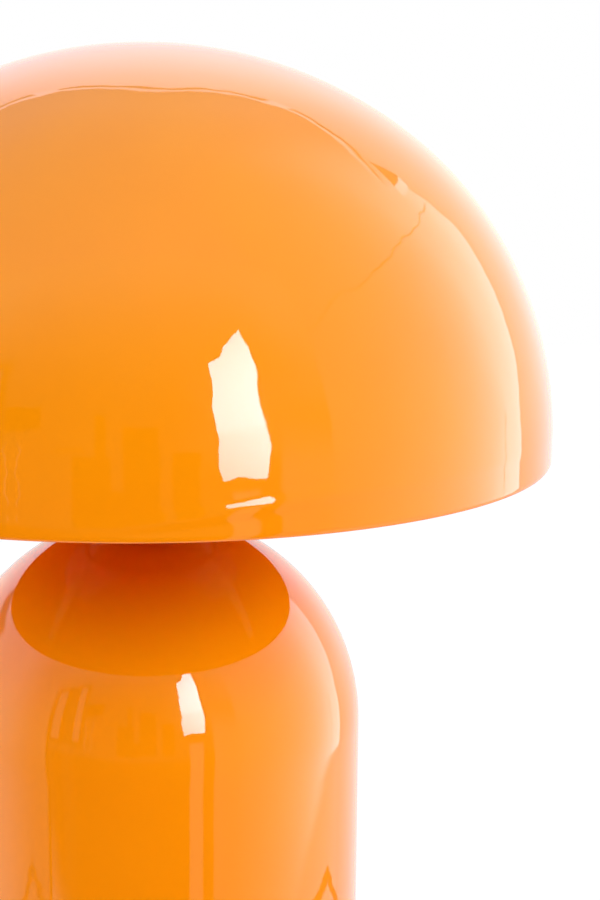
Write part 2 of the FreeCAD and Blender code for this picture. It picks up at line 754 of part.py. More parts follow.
def build_bulb_cap():
    """Screw cap of rounded ridges, the black insulator below it and the contact at its tip."""
    inner = "bulb_cap_radius - bulb_cap_sheet - bulb_thread_depth"
    skirt = "bulb_cap_radius - bulb_cap_sheet"
    root = "bulb_cap_radius - bulb_thread_depth"
    ridge = "((bulb_thread_pitch / 4) ^ 2 + bulb_thread_depth ^ 2 / 4) / bulb_thread_depth"
    corners = [("bulb_foot_radius", "bulb_cap_foot"), (root, "bulb_thread_foot")]
    turns = int(value("bulb_thread_turns"))
    middle = "bulb_cap_radius - bulb_thread_depth / 2"
    for turn in range(turns):
        low = f"bulb_thread_foot + {turn} * bulb_thread_pitch"
        corners.append((middle, f"{low} + bulb_thread_pitch / 4", ridge, -1))
        corners.append((middle, f"{low} + bulb_thread_pitch * 3 / 4", ridge, 1))
        corners.append((root, f"{low} + bulb_thread_pitch", ridge, -1))
    corners += [
        ("bulb_cap_radius", "bulb_skirt_foot"),
        ("bulb_cap_radius", "bulb_cap_top"),
        (skirt, "bulb_cap_top"),
        (skirt, "bulb_skirt_foot"),
        (inner, "bulb_thread_top"),
        (inner, "bulb_thread_foot + bulb_cap_sheet"),
        ("bulb_foot_radius", "bulb_thread_foot + bulb_cap_sheet"),
    ]
    keep("bulb_cap", revolved("bulb_cap", corners, "bulb_bottom"))
    keep("bulb_insulator", revolved("bulb_insulator", [
        (0, "bulb_tip_height"),
        ("bulb_tip_radius", "bulb_tip_height"),
        ("bulb_foot_radius - hole_gap", "bulb_cap_foot"),
        ("bulb_foot_radius - hole_gap", "bulb_cap_foot + 3 * bulb_cap_sheet"),
        (0, "bulb_cap_foot + 3 * bulb_cap_sheet"),
    ], "bulb_bottom"))
    keep("bulb_contact", revolved("bulb_contact", [
        (0, 0),
        ("bulb_tip_radius / 2", 0),
        ("bulb_tip_radius", "bulb_tip_height / 2"),
        ("bulb_tip_radius", "bulb_tip_height - face_gap"),
        (0, "bulb_tip_height - face_gap"),
    ], "bulb_bottom"))


def rod(name, radius, start, end):
    """A straight wire between two points given as formulas."""
    first = FreeCAD.Vector(*[value(part) for part in start])
    last = FreeCAD.Vector(*[value(part) for part in end])
    thing = doc.addObject("Part::Cylinder", name)
    reach = " + ".join(f"(({b}) - ({a})) ^ 2" for a, b in zip(start, end))
    bind(thing, Radius=radius, Height=f"sqrt({reach})")
    thing.Placement.Rotation = FreeCAD.Rotation(FreeCAD.Vector(0, 0, 1), last - first)
    return place(thing, *start)


def build_bulb_inside():
    """Glass stem with a post, spokes at two levels, and the filaments between the spokes."""
    keep("bulb_stem", revolved("bulb_stem", [
        (0, 0),
        ("bulb_neck_radius - bulb_wall - stem_flange_gap", 0),
        ("bulb_neck_radius - bulb_wall - stem_flange_gap", "stem_flange"),
        ("stem_radius + stem_flange", "stem_flange"),
        ("stem_radius", "2 * stem_flange", "stem_flange", -1),
        ("stem_radius", "stem_height - stem_radius"),
        (0, "stem_height", "stem_radius", 1),
    ], "bulb_bottom + stem_bottom"))
    low = "bulb_bottom + stem_top + 2 * support_radius"
    high = "bulb_bottom + stem_top + filament_length"
    post_foot = (0, 0, "bulb_bottom + stem_top + face_gap")
    supports = [rod("support_post", "support_radius", post_foot, (0, 0, high))]
    filaments = []
    count = int(value("filament_count"))
    lows = around(count, "filament_low_circle")
    highs = around(count, "filament_high_circle")
    for number, (foot, head) in enumerate(zip(lows, highs)):
        foot_level = f"{low} + support_radius + face_gap + filament_radius / 4"
        head_level = f"{high} - 2 * support_radius - face_gap - filament_radius / 4"
        filaments.append(rod(f"filament_{number}", "filament_radius", (*foot, foot_level),
                             (*head, head_level)))
        supports.append(rod(f"low_spoke_{number}", "support_radius", (0, 0, low), (*foot, low)))
        supports.append(rod(f"high_spoke_{number}", "support_radius", (0, 0, f"{high} - support_radius"),
                            (*head, f"{high} - support_radius")))
    keep("bulb_filaments", group("bulb_filaments", filaments))
    keep("bulb_supports", fuse("bulb_supports", supports))


def bent_wire(label, route):
    """A round wire along straight runs joined by tangent arcs, each as large as its runs allow."""
    points = [FreeCAD.Vector(*[value(part) for part in point]) for point in route]
    share_of_run = 0.45
    edges = []
    start = points[0]
    for before, corner, after in zip(points, points[1:], points[2:]):
        into = (corner - before).normalize()
        out = (after - corner).normalize()
        setback = share_of_run * min((corner - before).Length, (after - corner).Length)
        half_turn = into.getAngle(out) / 2
        first = corner - into * setback
        last = corner + out * setback
        towards_centre = (out - into).normalize()
        radius = setback / math.tan(half_turn)
        middle = corner + towards_centre * (radius / math.cos(half_turn) - radius)
        edges += [Part.LineSegment(start, first).toShape(), Part.Arc(first, middle, last).toShape()]
        print(f"{label}: bend radius {radius:.1f} mm")
        start = last
    edges.append(Part.LineSegment(start, points[-1]).toShape())
    path = Part.Wire(edges)
    radius = value("wire_radius")
    section = Part.Wire(Part.makeCircle(radius, points[0], points[1] - points[0]))
    solid = path.makePipeShell([section], True, False)
    expected = math.pi * radius ** 2 * path.Length
    if abs(solid.Volume - expected) > 0.01 * expected:
        raise ValueError(f"{label}: volume {solid.Volume:.1f} where {expected:.1f} was expected")
    thing = doc.addObject("Part::Feature", label)
    thing.Shape = solid
    thing.Placement = FreeCAD.Placement()
    keep(label, thing)


def build_wires():
    """Two wires up through the nipple to the lampholder, and one to the earth tag."""
    front = "block_offset - block_depth / 2"
    low_share, earth_share, high_share = 0.3, 0.4, 0.75
    spread_share, low_back_share, earth_back_share = 0.9, 0.2, 0.5

    def level(share):
        """A height at a share of the way from the weight to the nipple."""
        return f"weight_top + {share} * (nipple_bottom - weight_top)"

    for label, side in (("live_wire", -1), ("neutral_wire", 1)):
        pole = f"{side} * pole_pitch"
        bore = f"{side} * wire_spacing"
        bent_wire(label, [
            (pole, f"{front} + wire_grip", "pole_height"),
            (pole, f"{front} - wire_lead", "pole_height"),
            (f"{pole} * {spread_share}", f"block_offset * {low_back_share}", level(low_share)),
            (bore, 0, level(high_share)),
            (bore, 0, "insert_bottom + insert_wire_depth - face_gap"),
        ])
    bent_wire("earth_wire", [
        (0, f"{front} + wire_grip", "pole_height"),
        (0, f"{front} - wire_lead", "pole_height"),
        ("wire_spacing", f"block_offset * {earth_back_share}", level(earth_share)),
        (0, "earth_tab_reach - 2 * wire_radius", "inner_nut_top - hole_gap"),
    ])


def check_pieces():
    """Stop unless every object recomputed and every sub-part is a sound solid."""
    for thing in doc.Objects:
        if {"Invalid", "Error"} & set(thing.State):
            raise RuntimeError(f"{thing.Label} failed: {thing.State}")
    for piece in pieces:
        shape = piece.Shape
        if shape.isNull() or not shape.isValid() or not shape.Solids:
            raise RuntimeError(f"{piece.Label} is not a valid solid")


def write_pieces():
    os.makedirs("parts", exist_ok=True)
    for piece in pieces:
        piece.Shape.exportStep(f"parts/{piece.Label}.step")
        print(f"{piece.Label}: {len(piece.Shape.Solids)} solids, {piece.Shape.Volume / 1000:.2f} cm3")


fill_sheet()
build_shade()
build_spider()
build_seat()
build_base_shell()
build_bottom()
build_weight()
build_inlet()
build_terminal_block()
build_nipple()
build_holder()
build_bulb_glass()
build_bulb_cap()
build_bulb_inside()
build_wires()
doc.recompute()
check_pieces()
write_pieces()
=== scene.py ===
"""Looks of the mushroom table lamp: lacquered shells, lampholder, bulb, studio light and camera.

Outlines are in millimetres, in the part's own frame: +Z up, the front towards -Y.
"""
import json
import math
import bmesh
import bpy
from mathutils import Matrix, Vector


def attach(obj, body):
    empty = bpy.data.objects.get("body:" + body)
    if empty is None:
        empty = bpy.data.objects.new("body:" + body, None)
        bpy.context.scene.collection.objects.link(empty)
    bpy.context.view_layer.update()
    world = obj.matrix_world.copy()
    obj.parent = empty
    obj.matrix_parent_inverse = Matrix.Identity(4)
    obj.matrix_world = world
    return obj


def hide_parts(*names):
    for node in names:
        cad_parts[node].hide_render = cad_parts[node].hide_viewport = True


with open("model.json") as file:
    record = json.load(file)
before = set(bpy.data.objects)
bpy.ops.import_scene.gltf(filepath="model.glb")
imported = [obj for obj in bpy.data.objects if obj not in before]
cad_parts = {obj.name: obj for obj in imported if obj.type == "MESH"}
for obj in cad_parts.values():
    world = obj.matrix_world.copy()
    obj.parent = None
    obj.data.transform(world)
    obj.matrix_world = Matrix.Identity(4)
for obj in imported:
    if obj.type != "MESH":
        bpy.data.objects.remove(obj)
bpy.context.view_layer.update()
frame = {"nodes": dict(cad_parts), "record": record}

MM = 0.001

# Points round a turned piece, and the angle above which its edges stay sharp
SHELL_TURNS = 432
RIB_TURNS = 360
PART_TURNS = 192
BULB_TURNS = 160
THREAD_TURNS = 144
SMALL_TURNS = 96
TIP_TURNS = 64
SHARP = 40
THREAD_SHARP = 60

# Shade
SHADE_RADIUS = 180
SHADE_RIM = 300
SHADE_SKIRT = 11
SHADE_WALL = 1.1
DOME_RISE = 169
SHOULDER_ARC = 2 * DOME_RISE ** 2 / (SHADE_RADIUS + DOME_RISE)
SHOULDER_CENTRE = SHADE_RADIUS - SHOULDER_ARC
CROWN_DROP = (SHOULDER_CENTRE ** 2 - (DOME_RISE - SHOULDER_ARC) ** 2) / 2 / (DOME_RISE - SHOULDER_ARC)
CROWN_ARC = DOME_RISE + CROWN_DROP
CROWN_TURN = math.degrees(math.atan2(CROWN_DROP, SHOULDER_CENTRE))
SPRING = SHADE_RIM + SHADE_SKIRT
RIM_ROUND = 0.4
RIM_CURL = 2.4
BEND_TURN = 4
OUTER_ROWS = (18, 12, 64, 40)
INNER_ROWS = (9, 6, 32, 20)
MARK_HEIGHT = SPRING - 0.6
MARK_REACH = 4.5
MARK_ANGLE = math.radians(-75)
MARK_SPREAD = 13
MARK_LEAST = 0.08
MARK_MORE = 0.25
MARK_SLANT = 4.6
MARK_DEEPEST = 0.6

# Spider that carries the shade
ARM_ANGLES = (90, 210, 330)
ARM_ROOT = (43.0, 289.5)
ARM_ELBOW = (177.6, 315.0)
ELBOW_ROUND = 9
ARM_STEPS = 12
TURN_STEPS = 8
ARM_HALF = 7
SHEET_HALF = 1
SHEET_EDGE = 0.7
TAB_ARC = 161.36
TAB_FOOT = 6
TAB_TOP = 23
WELD_FOOT = 5
WELD_LENGTH = 17
WELD_STEPS = 40
WELD_ASIDE = 7.2
WELD_INSET = 1.7
WELD_SWELL = 0.75
WELD_RIPPLE = 0.2
WELD_BEAT = 1.7

# Base
BASE_RADIUS = 96
BASE_WALL = 1.2
BASE_FOOT = 3.5
BASE_BEND = 3
BASE_LIP = 78
DOME_CENTRE = 173
NIPPLE_HOLE = 5.2
INLET_HEIGHT = 26
INLET_HOLE = 5.2
BUSHING_GAP = 0.05
FLUTES = 16
FLUTE_DEPTH = 0.25
FLUTED_FROM = 7.2

# Lampholder and seat
SEAT_TOP = 290.5
RIBS = 36
RIB_DEPTH = 0.55
RIBBED_FROM = 23.5
RIB_FOOT = SEAT_TOP + 3.2
SLEEVE_RADIUS = 19.4
SLEEVE_THREAD = 2.0
SLEEVE_THREAD_DEPTH = 0.3
SLEEVE_THREAD_FOOT = 283
SLEEVE_THREAD_TOP = 314.5
SHELL_THREAD_DEPTH = 0.25
SHELL_THREAD_FOOT = 292.4
SHELL_THREAD_TOP = 312.6
SHELL_THREADED_FROM = 13

# Bulb
BULB_BOTTOM = 293
BULB_PITCH = 3.62
BULB_CAP_FOOT = BULB_BOTTOM + 6.5
BULB_CAP_TOP = BULB_BOTTOM + 26.5
BULB_THREAD_FOOT = BULB_BOTTOM + 6.9
BULB_THREAD_TOP = BULB_THREAD_FOOT + 4 * BULB_PITCH
BULB_THREAD_DEPTH = 0.9
BULB_THREAD_FADE = 1.2
BULB_THREADED_FROM = 11.6
BULB_CENTRE = BULB_BOTTOM + 76
BULB_RADIUS = 30
BULB_NECK = 12.6
BULB_FLARE = 35
BULB_WALL = 0.8


def arc(across, up, radius, start, end, steps):
    """Points along an arc, from one angle to another in degrees."""
    angles = [math.radians(start + (end - start) * step / steps) for step in range(steps + 1)]
    return [(across + radius * math.cos(angle), up + radius * math.sin(angle)) for angle in angles]


def run(start, end, steps):
    """Points along a straight run, without its last one."""
    across, up = end[0] - start[0], end[1] - start[1]
    shares = [step / steps for step in range(steps)]
    return [(start[0] + across * share, start[1] + up * share) for share in shares]


def rounded(corners, steps=5):
    """A closed outline of (across, up, rounding) corners, each with its own small arc."""
    points = []
    for number, (across, up, rounding) in enumerate(corners):
        here = Vector((across, up))
        before = Vector(corners[number - 1][:2]) - here
        after = Vector(corners[(number + 1) % len(corners)][:2]) - here
        if rounding == 0:
            points.append((across, up))
            continue
        half = before.angle(after) / 2
        setback = rounding / math.tan(half)
        first = here + before.normalized() * setback
        last = here + after.normalized() * setback
        centre = here + (before.normalized() + after.normalized()).normalized() * (rounding / math.sin(half))
        swing = (first - centre).angle_signed(last - centre)
        for step in range(steps + 1):
            spoke = (first - centre).copy()
            spoke.rotate(Matrix.Rotation(-swing * step / steps, 2))
            points.append(tuple(centre + spoke))
    return points


def new_piece(name, points, faces, sharp=SHARP):
    """A smooth mesh object from points in millimetres, with edges kept sharp above an angle."""
    mesh = bpy.data.meshes.new(name)
    mesh.from_pydata([(x * MM, y * MM, z * MM) for x, y, z in points], [], faces)
    mesh.validate()
    mesh.polygons.foreach_set("use_smooth", [True] * len(mesh.polygons))
    mesh.set_sharp_from_angle(angle=math.radians(sharp))
    piece = bpy.data.objects.new(name, mesh)
    bpy.context.scene.collection.objects.link(piece)
    return piece


def lathe(name, outline, turns, relief=None, sharp=SHARP):
    """A closed outline of (radius, height) turned about Z.

    relief, where given, adds to the radius at an angle, a radius and a height.
    """
    points = []
    rows = []
    for radius, height in outline:
        start = len(points)
        if radius < 1e-6:
            points.append((0, 0, height))
            rows.append([start] * turns)
            continue
        for step in range(turns):
            angle = 2 * math.pi * step / turns
            reach = radius + (relief(angle, radius, height) if relief else 0)
            points.append((reach * math.cos(angle), reach * math.sin(angle), height))
        rows.append(list(range(start, start + turns)))
    faces = []
    for number, row in enumerate(rows):
        other = rows[(number + 1) % len(rows)]
        for step in range(turns):
            following = (step + 1) % turns
            corners = (row[step], row[following], other[following], other[step])
            face = tuple(dict.fromkeys(corners))
            if len(face) > 2:
                faces.append(face)
    return new_piece(name, points, faces, sharp)


def sweep(places, section):
    """Points and faces of a closed section carried along a list of (origin, side, up) places."""
    points = []
    faces = []
    size = len(section)
    for origin, side, up in places:
        points += [tuple(origin + side * across + up * rise) for across, rise in section]
    for ring in range(len(places) - 1):
        low, high = ring * size, (ring + 1) * size
        for step in range(size):
            following = (step + 1) % size
            faces.append((low + step, low + following, high + following, high + step))
    faces.append(tuple(reversed(range(size))))
    faces.append(tuple(range((len(places) - 1) * size, len(places) * size)))
    return points, faces


def fit(piece, body, slot, *nodes):
    """Let a piece ride on a body, take a finish and stand for its CAD nodes."""
    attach(piece, body)
    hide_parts(*nodes)
    piece.data.materials.clear()
    piece.data.materials.append(finishes[slot])


# Materials


def add(tree, kind, inputs=None, **settings):
    """A node with its settings, and its inputs linked or set."""
    made = tree.nodes.new(kind)
    for name, setting in settings.items():
        setattr(made, name, setting)
    for name, given in (inputs or {}).items():
        if isinstance(given, bpy.types.NodeSocket):
            tree.links.new(given, made.inputs[name])
        else:
            made.inputs[name].default_value = given
    return made


def calc(tree, operation, first, second=0.0, third=0.0):
    """One step of arithmetic on numbers or sockets."""
    return add(tree, "ShaderNodeMath", {0: first, 1: second, 2: third}, operation=operation).outputs[0]


def ramp(tree, given, low, high, least=0.0, most=1.0):
    """A smooth step of a value, from least to most."""
    inputs = {"Value": given, "From Min": low, "From Max": high, "To Min": least, "To Max": most}
    return add(tree, "ShaderNodeMapRange", inputs, interpolation_type="SMOOTHSTEP").outputs[0]


def noise(tree, scale, detail=2.0, stretch=(1, 1, 1)):
    """Noise in the piece's own space; scale is in waves per metre."""
    place = add(tree, "ShaderNodeTexCoord").outputs["Object"]
    stretched = add(tree, "ShaderNodeMapping", {"Vector": place, "Scale": stretch}).outputs[0]
    inputs = {"Vector": stretched, "Scale": scale, "Detail": detail}
    return add(tree, "ShaderNodeTexNoise", inputs).outputs["Fac"]


def blend(tree, share, first, second):
    """A mix of two colours, each a socket or three numbers."""
    mixed = add(tree, "ShaderNodeMix", data_type="RGBA")
    for index, given in ((0, share), (6, first), (7, second)):
        if isinstance(given, bpy.types.NodeSocket):
            tree.links.new(given, mixed.inputs[index])
        else:
            mixed.inputs[index].default_value = given if index == 0 else (*given, 1.0)
    return mixed.outputs[2]


def relief_of(tree, layers):
    """Bump from layers of (height, depth in metres), one on the other."""
    normal = None
    for height, depth in layers:
        inputs = {"Height": height, "Distance": depth, "Strength": 1.0}
        if normal is not None:
            inputs["Normal"] = normal
        normal = add(tree, "ShaderNodeBump", inputs).outputs[0]
    return normal


def new_material(name):
    """A material with one surface shader and nothing else yet."""
    material = bpy.data.materials.new(name)
    material.use_nodes = True
    tree = material.node_tree
    tree.nodes.clear()
    shader = add(tree, "ShaderNodeBsdfPrincipled")
    output = add(tree, "ShaderNodeOutputMaterial", {"Surface": shader.outputs[0]})
    output.is_active_output = True
    return material, tree, shader


def dress(tree, shader, colour, rough, normal, **constants):
    """Link what varies over the surface and set what doesn't."""
    for name, given in (("Base Color", colour), ("Roughness", rough), ("Normal", normal)):
        tree.links.new(given, shader.inputs[name])
    for name, constant in constants.items():
        shader.inputs[name.replace("_", " ").title().replace("Ior", "IOR")].default_value = constant


def plain_finish(name, colour, other, patch, rough, bumps, metal=0.0):
    """A finish of two close colours in patches, with uneven gloss and fine relief."""
    material, tree, shader = new_material(name)
    patches = ramp(tree, noise(tree, patch, 4.0), 0.35, 0.65)
    gloss = ramp(tree, noise(tree, patch * 3.0, 5.0), 0.3, 0.7, *rough)
    layers = [(noise(tree, scale, 3.0), depth) for scale, depth in bumps]
    dress(tree, shader, blend(tree, patches, colour, other), gloss, relief_of(tree, layers), metallic=metal)
    return material


LACQUER = (0.9, 0.305, 0.001)
LACQUER_DEEPER = (0.87, 0.283, 0.001)
# Painted shade: a deeper, redder copy of the lacquer for the shade's inner face, standing in for the red
# light under the shade
LACQUER_INSIDE_PAINTED_SHADE = (0.97, 0.16, 0.001)
LACQUER_NIB = (0.3, 0.05, 0.001)


def painted_shade_inside(tree, place):
    """One on the shade's inner face, where the coat is painted deeper and redder as painted shade for the red
    light under the shade, and zero elsewhere.
    """
    spring = (0.0, 0.0, SPRING * MM)
    outward = add(tree, "ShaderNodeVectorMath", {0: place, 1: spring}, operation="SUBTRACT").outputs[0]
    facing = add(tree, "ShaderNodeTexCoord").outputs["Normal"]
    turned = add(tree, "ShaderNodeVectorMath", {0: outward, 1: facing}, operation="DOT_PRODUCT")
    up = add(tree, "ShaderNodeSeparateXYZ", {0: place}).outputs[2]
    on_shade = calc(tree, "GREATER_THAN", up, (SHADE_RIM + RIM_ROUND) * MM)
    return calc(tree, "MULTIPLY", calc(tree, "LESS_THAN", turned.outputs["Value"], 0.0), on_shade)


def lacquer(name):
    """Glossy orange enamel: waves from spinning, orange peel, a few nibs of dust under the coat, and painted
    shade on the shade's inner face.
    """
    material, tree, shader = new_material(name)
    tone = blend(tree, ramp(tree, noise(tree, 9.0, 3.0), 0.3, 0.7), LACQUER, LACQUER_DEEPER)
    place = add(tree, "ShaderNodeTexCoord").outputs["Object"]
    # Painted shade: the shade's inner face takes the deeper, redder copy of the lacquer
    tone = blend(tree, painted_shade_inside(tree, place), tone, LACQUER_INSIDE_PAINTED_SHADE)
    cells = add(tree, "ShaderNodeTexVoronoi", {"Vector": place, "Scale": 11.0})
    chosen = add(tree, "ShaderNodeSeparateColor", {0: cells.outputs["Color"]}).outputs[0]
    near = ramp(tree, cells.outputs["Distance"], 0.004, 0.008, 1.0, 0.0)
    nib = calc(tree, "MULTIPLY", near, calc(tree, "GREATER_THAN", chosen, 0.55))
    colour = blend(tree, nib, tone, LACQUER_NIB)
    gloss = ramp(tree, noise(tree, 40.0, 6.0), 0.3, 0.75, 0.012, 0.035)
    up = add(tree, "ShaderNodeSeparateXYZ", {0: place}).outputs[2]
    on_shade = ramp(tree, up, 0.27, 0.3, 0.4, 1.0)
    waves = calc(tree, "MULTIPLY", noise(tree, 42.0, 1.0), on_shade)
    ripples = calc(tree, "MULTIPLY", noise(tree, 95.0, 1.0), on_shade)
    peel = noise(tree, 420.0, 2.0)
    normal = relief_of(tree, [(waves, 0.00011), (ripples, 0.000055), (peel, 0.0000035), (nib, 0.00004)])
    dress(tree, shader, colour, gloss, normal, ior=1.5)
    return material


def felt(name):
    """Pressed wool: tangled fibres, lighter tips and a soft sheen."""
    material, tree, shader = new_material(name)
    fibres = noise(tree, 1400.0, 6.0, (1.0, 0.35, 1.0))
    crossed = noise(tree, 1400.0, 6.0, (0.35, 1.0, 1.0))
    tangle = calc(tree, "MAXIMUM", fibres, crossed)
    colour = blend(tree, ramp(tree, tangle, 0.45, 0.75), (0.018, 0.017, 0.017), (0.06, 0.056, 0.054))
    gloss = ramp(tree, noise(tree, 300.0, 3.0), 0.3, 0.7, 0.85, 1.0)
    normal = relief_of(tree, [(tangle, 0.0006), (noise(tree, 90.0, 2.0), 0.0004)])
    dress(tree, shader, colour, gloss, normal, sheen_weight=0.4, sheen_roughness=0.5)
    return material


def striped_wire(name):
    """Green insulation with yellow stripes along it."""
    material, tree, shader = new_material(name)
    place = add(tree, "ShaderNodeTexCoord").outputs["Object"]
    across = add(tree, "ShaderNodeSeparateXYZ", {0: place}).outputs[0]
    stripe = ramp(tree, calc(tree, "PINGPONG", calc(tree, "ADD", across, 0.0022), 0.0011), 0.0004, 0.0006)
    colour = blend(tree, stripe, (0.08, 0.3, 0.03), (0.75, 0.6, 0.03))
    gloss = ramp(tree, noise(tree, 160.0, 4.0), 0.3, 0.7, 0.35, 0.5)
    dress(tree, shader, colour, gloss, relief_of(tree, [(noise(tree, 500.0, 2.0), 0.00002)]))
    return material


def clear_glass(name, colour, other):
    """Blown glass with faint waves in its gloss and its surface."""
    material, tree, shader = new_material(name)
    tint = blend(tree, noise(tree, 20.0, 2.0), colour, other)
    gloss = ramp(tree, noise(tree, 60.0, 3.0), 0.3, 0.7, 0.0, 0.02)
    normal = relief_of(tree, [(noise(tree, 45.0, 1.0), 0.00006)])
    dress(tree, shader, tint, gloss, normal, transmission_weight=1.0, ior=1.47)
    return material


# Two colours, patches per metre, range of roughness, relief as (waves per metre, depth), share of metal
PLAIN_FINISHES = {
    "black_bakelite": ((0.016, 0.015, 0.014), (0.028, 0.024, 0.021), 60.0, (0.2, 0.34),
                       [(240.0, 0.00003), (1800.0, 0.000006)]),
    "porcelain": ((0.82, 0.8, 0.75), (0.76, 0.74, 0.68), 80.0, (0.1, 0.24),
                  [(180.0, 0.00005), (900.0, 0.00001)]),
    "brass": ((0.8, 0.56, 0.2), (0.6, 0.38, 0.13), 140.0, (0.22, 0.42),
              [(700.0, 0.00001), (2400.0, 0.000006)], 1.0),
    "zinc_steel": ((0.62, 0.64, 0.67), (0.5, 0.5, 0.47), 260.0, (0.25, 0.42),
                   [(900.0, 0.00001), (3000.0, 0.000006)], 1.0),
    "cast_iron": ((0.05, 0.049, 0.047), (0.11, 0.09, 0.075), 90.0, (0.55, 0.8),
                  [(220.0, 0.0006), (1100.0, 0.0002)], 0.6),
    "bottom_steel": ((0.022, 0.022, 0.023), (0.034, 0.033, 0.033), 120.0, (0.4, 0.55),
                     [(1300.0, 0.00006)]),
    "inlet_plastic": ((0.018, 0.018, 0.019), (0.03, 0.03, 0.031), 220.0, (0.36, 0.52),
                      [(1500.0, 0.00004)]),
    "block_plastic": ((0.74, 0.7, 0.58), (0.68, 0.63, 0.5), 110.0, (0.36, 0.5),
                      [(1200.0, 0.00003)]),
    "brown_insulation": ((0.16, 0.06, 0.02), (0.12, 0.042, 0.014), 180.0, (0.35, 0.5),
                         [(500.0, 0.00002)]),
    "blue_insulation": ((0.02, 0.1, 0.42), (0.018, 0.075, 0.33), 180.0, (0.35, 0.5),
                        [(500.0, 0.00002)]),
    "filament": ((0.86, 0.58, 0.08), (0.8, 0.5, 0.05), 900.0, (0.5, 0.7),
                 [(2600.0, 0.00008)]),
    "bulb_wire": ((0.62, 0.6, 0.57), (0.5, 0.48, 0.45), 300.0, (0.25, 0.4),
                  [(2000.0, 0.00001)], 1.0),
    "bulb_metal": ((0.78, 0.77, 0.74), (0.66, 0.64, 0.6), 200.0, (0.16, 0.32),
                   [(800.0, 0.00002), (2600.0, 0.000006)], 1.0),
    "bulb_black_glass": ((0.012, 0.011, 0.014), (0.03, 0.022, 0.03), 240.0, (0.06, 0.16),
                         [(300.0, 0.00006)]),
}
finishes = {name: plain_finish(name, *look) for name, look in PLAIN_FINISHES.items()}
finishes["orange_lacquer"] = lacquer("orange_lacquer")
finishes["felt"] = felt("felt")
finishes["green_insulation"] = striped_wire("green_insulation")
finishes["bulb_glass"] = clear_glass("bulb_glass", (0.99, 0.99, 0.98), (0.96, 0.97, 0.95))
finishes["stem_glass"] = clear_glass("stem_glass", (0.97, 0.98, 0.97), (0.93, 0.95, 0.93))

for subpart in frame["record"]["subparts"]:
    node = frame["nodes"][subpart["node"]]
    node.data.materials.clear()
    node.data.materials.append(finishes[subpart["material_slot"]])


# Shade


def dome_side(inset, foot, rows):
    """The dome from its skirt's foot to its top, at an inset from the outer face.

    rows counts the points along the skirt, the bend, the shoulder and the crown.
    """
    skirt = run((SHADE_RADIUS - inset, SHADE_RIM + foot), (SHADE_RADIUS - inset, SPRING), rows[0])
    bend = arc(SHOULDER_CENTRE, SPRING, SHOULDER_ARC - inset, 0, BEND_TURN, rows[1])
    shoulder = arc(SHOULDER_CENTRE, SPRING, SHOULDER_ARC - inset, BEND_TURN, CROWN_TURN, rows[2])
    crown = arc(0, SPRING - CROWN_DROP, CROWN_ARC - inset, CROWN_TURN, 90, rows[3])
    top = (0, SPRING - CROWN_DROP + CROWN_ARC - inset)
    return skirt + bend[:-1] + shoulder[:-1] + crown[:-1] + [top]


def bend_mark(angle, radius, height):
    """Faint ring that spinning left where the dome meets its skirt, strongest a little right of the front."""
    turn = math.degrees(math.remainder(angle - MARK_ANGLE, 2 * math.pi)) / MARK_SPREAD
    middle = MARK_HEIGHT + MARK_SLANT * min(max(turn + 0.5, -1), 1)
    away = abs(height - middle) / MARK_REACH
    if away > 1 or radius < SHADE_RADIUS - MARK_DEEPEST:
        return 0
    return (MARK_LEAST + MARK_MORE * math.exp(-turn ** 2)) * (0.5 + 0.5 * math.cos(math.pi * away))


def build_shade():
    """The dome's sheet, with its lower edge drawn in outside and rounded inside."""
    rim_reach = SHADE_WALL - RIM_ROUND
    outline = [(SHADE_RADIUS - rim_reach + rim_reach * across, SHADE_RIM + RIM_CURL * (1 + rise))
               for across, rise in arc(0, 0, 1, -90, -6, 14)]
    outline += dome_side(0, RIM_CURL, OUTER_ROWS)
    outline += list(reversed(dome_side(SHADE_WALL, RIM_ROUND, INNER_ROWS)))
    outline += arc(SHADE_RADIUS - rim_reach, SHADE_RIM + RIM_ROUND, RIM_ROUND, 195, 255, 4)
    return lathe("shade_dome_skin", outline, SHELL_TURNS, bend_mark)


def arm_line():
    """Middle of the arm's sheet from the hub to the top of its tab, with a rounded elbow."""
    root = Vector(ARM_ROOT)
    elbow = Vector(ARM_ELBOW)
    start = elbow + (root - elbow).normalized() * ELBOW_ROUND
    points = [root.lerp(start, step / ARM_STEPS) for step in range(ARM_STEPS)]
    tab_turn = [math.degrees(math.asin(height / TAB_ARC)) for height in (TAB_FOOT, TAB_TOP)]
    tab = [Vector(point) for point in arc(SHOULDER_CENTRE, SPRING, TAB_ARC, *tab_turn, TURN_STEPS)]
    for step in range(TURN_STEPS + 1):
        share = step / TURN_STEPS
        points.append(start.lerp(elbow, share).lerp(elbow.lerp(tab[0], share), share))
    return points + tab[1:]


def build_arm(name, azimuth):
    """A strip of sheet with rounded edges, bent up into a tab at the dome's wall."""
    line = arm_line()
    turn = Matrix.Rotation(math.radians(azimuth), 3, "Z")
    signs = ((-1, -1), (1, -1), (1, 1), (-1, 1))
    section = rounded([(ARM_HALF * across, SHEET_HALF * rise, SHEET_EDGE) for across, rise in signs])
    places = []
    for number, point in enumerate(line):
        ahead = line[min(number + 1, len(line) - 1)] - line[max(number - 1, 0)]
        lift = Vector((-ahead.y, ahead.x)).normalized()
        origin = turn @ Vector((point.x, 0, point.y))
        places.append((origin, turn @ Vector((0, 1, 0)), turn @ Vector((lift.x, 0, lift.y))))
    return new_piece(name, *sweep(places, section))


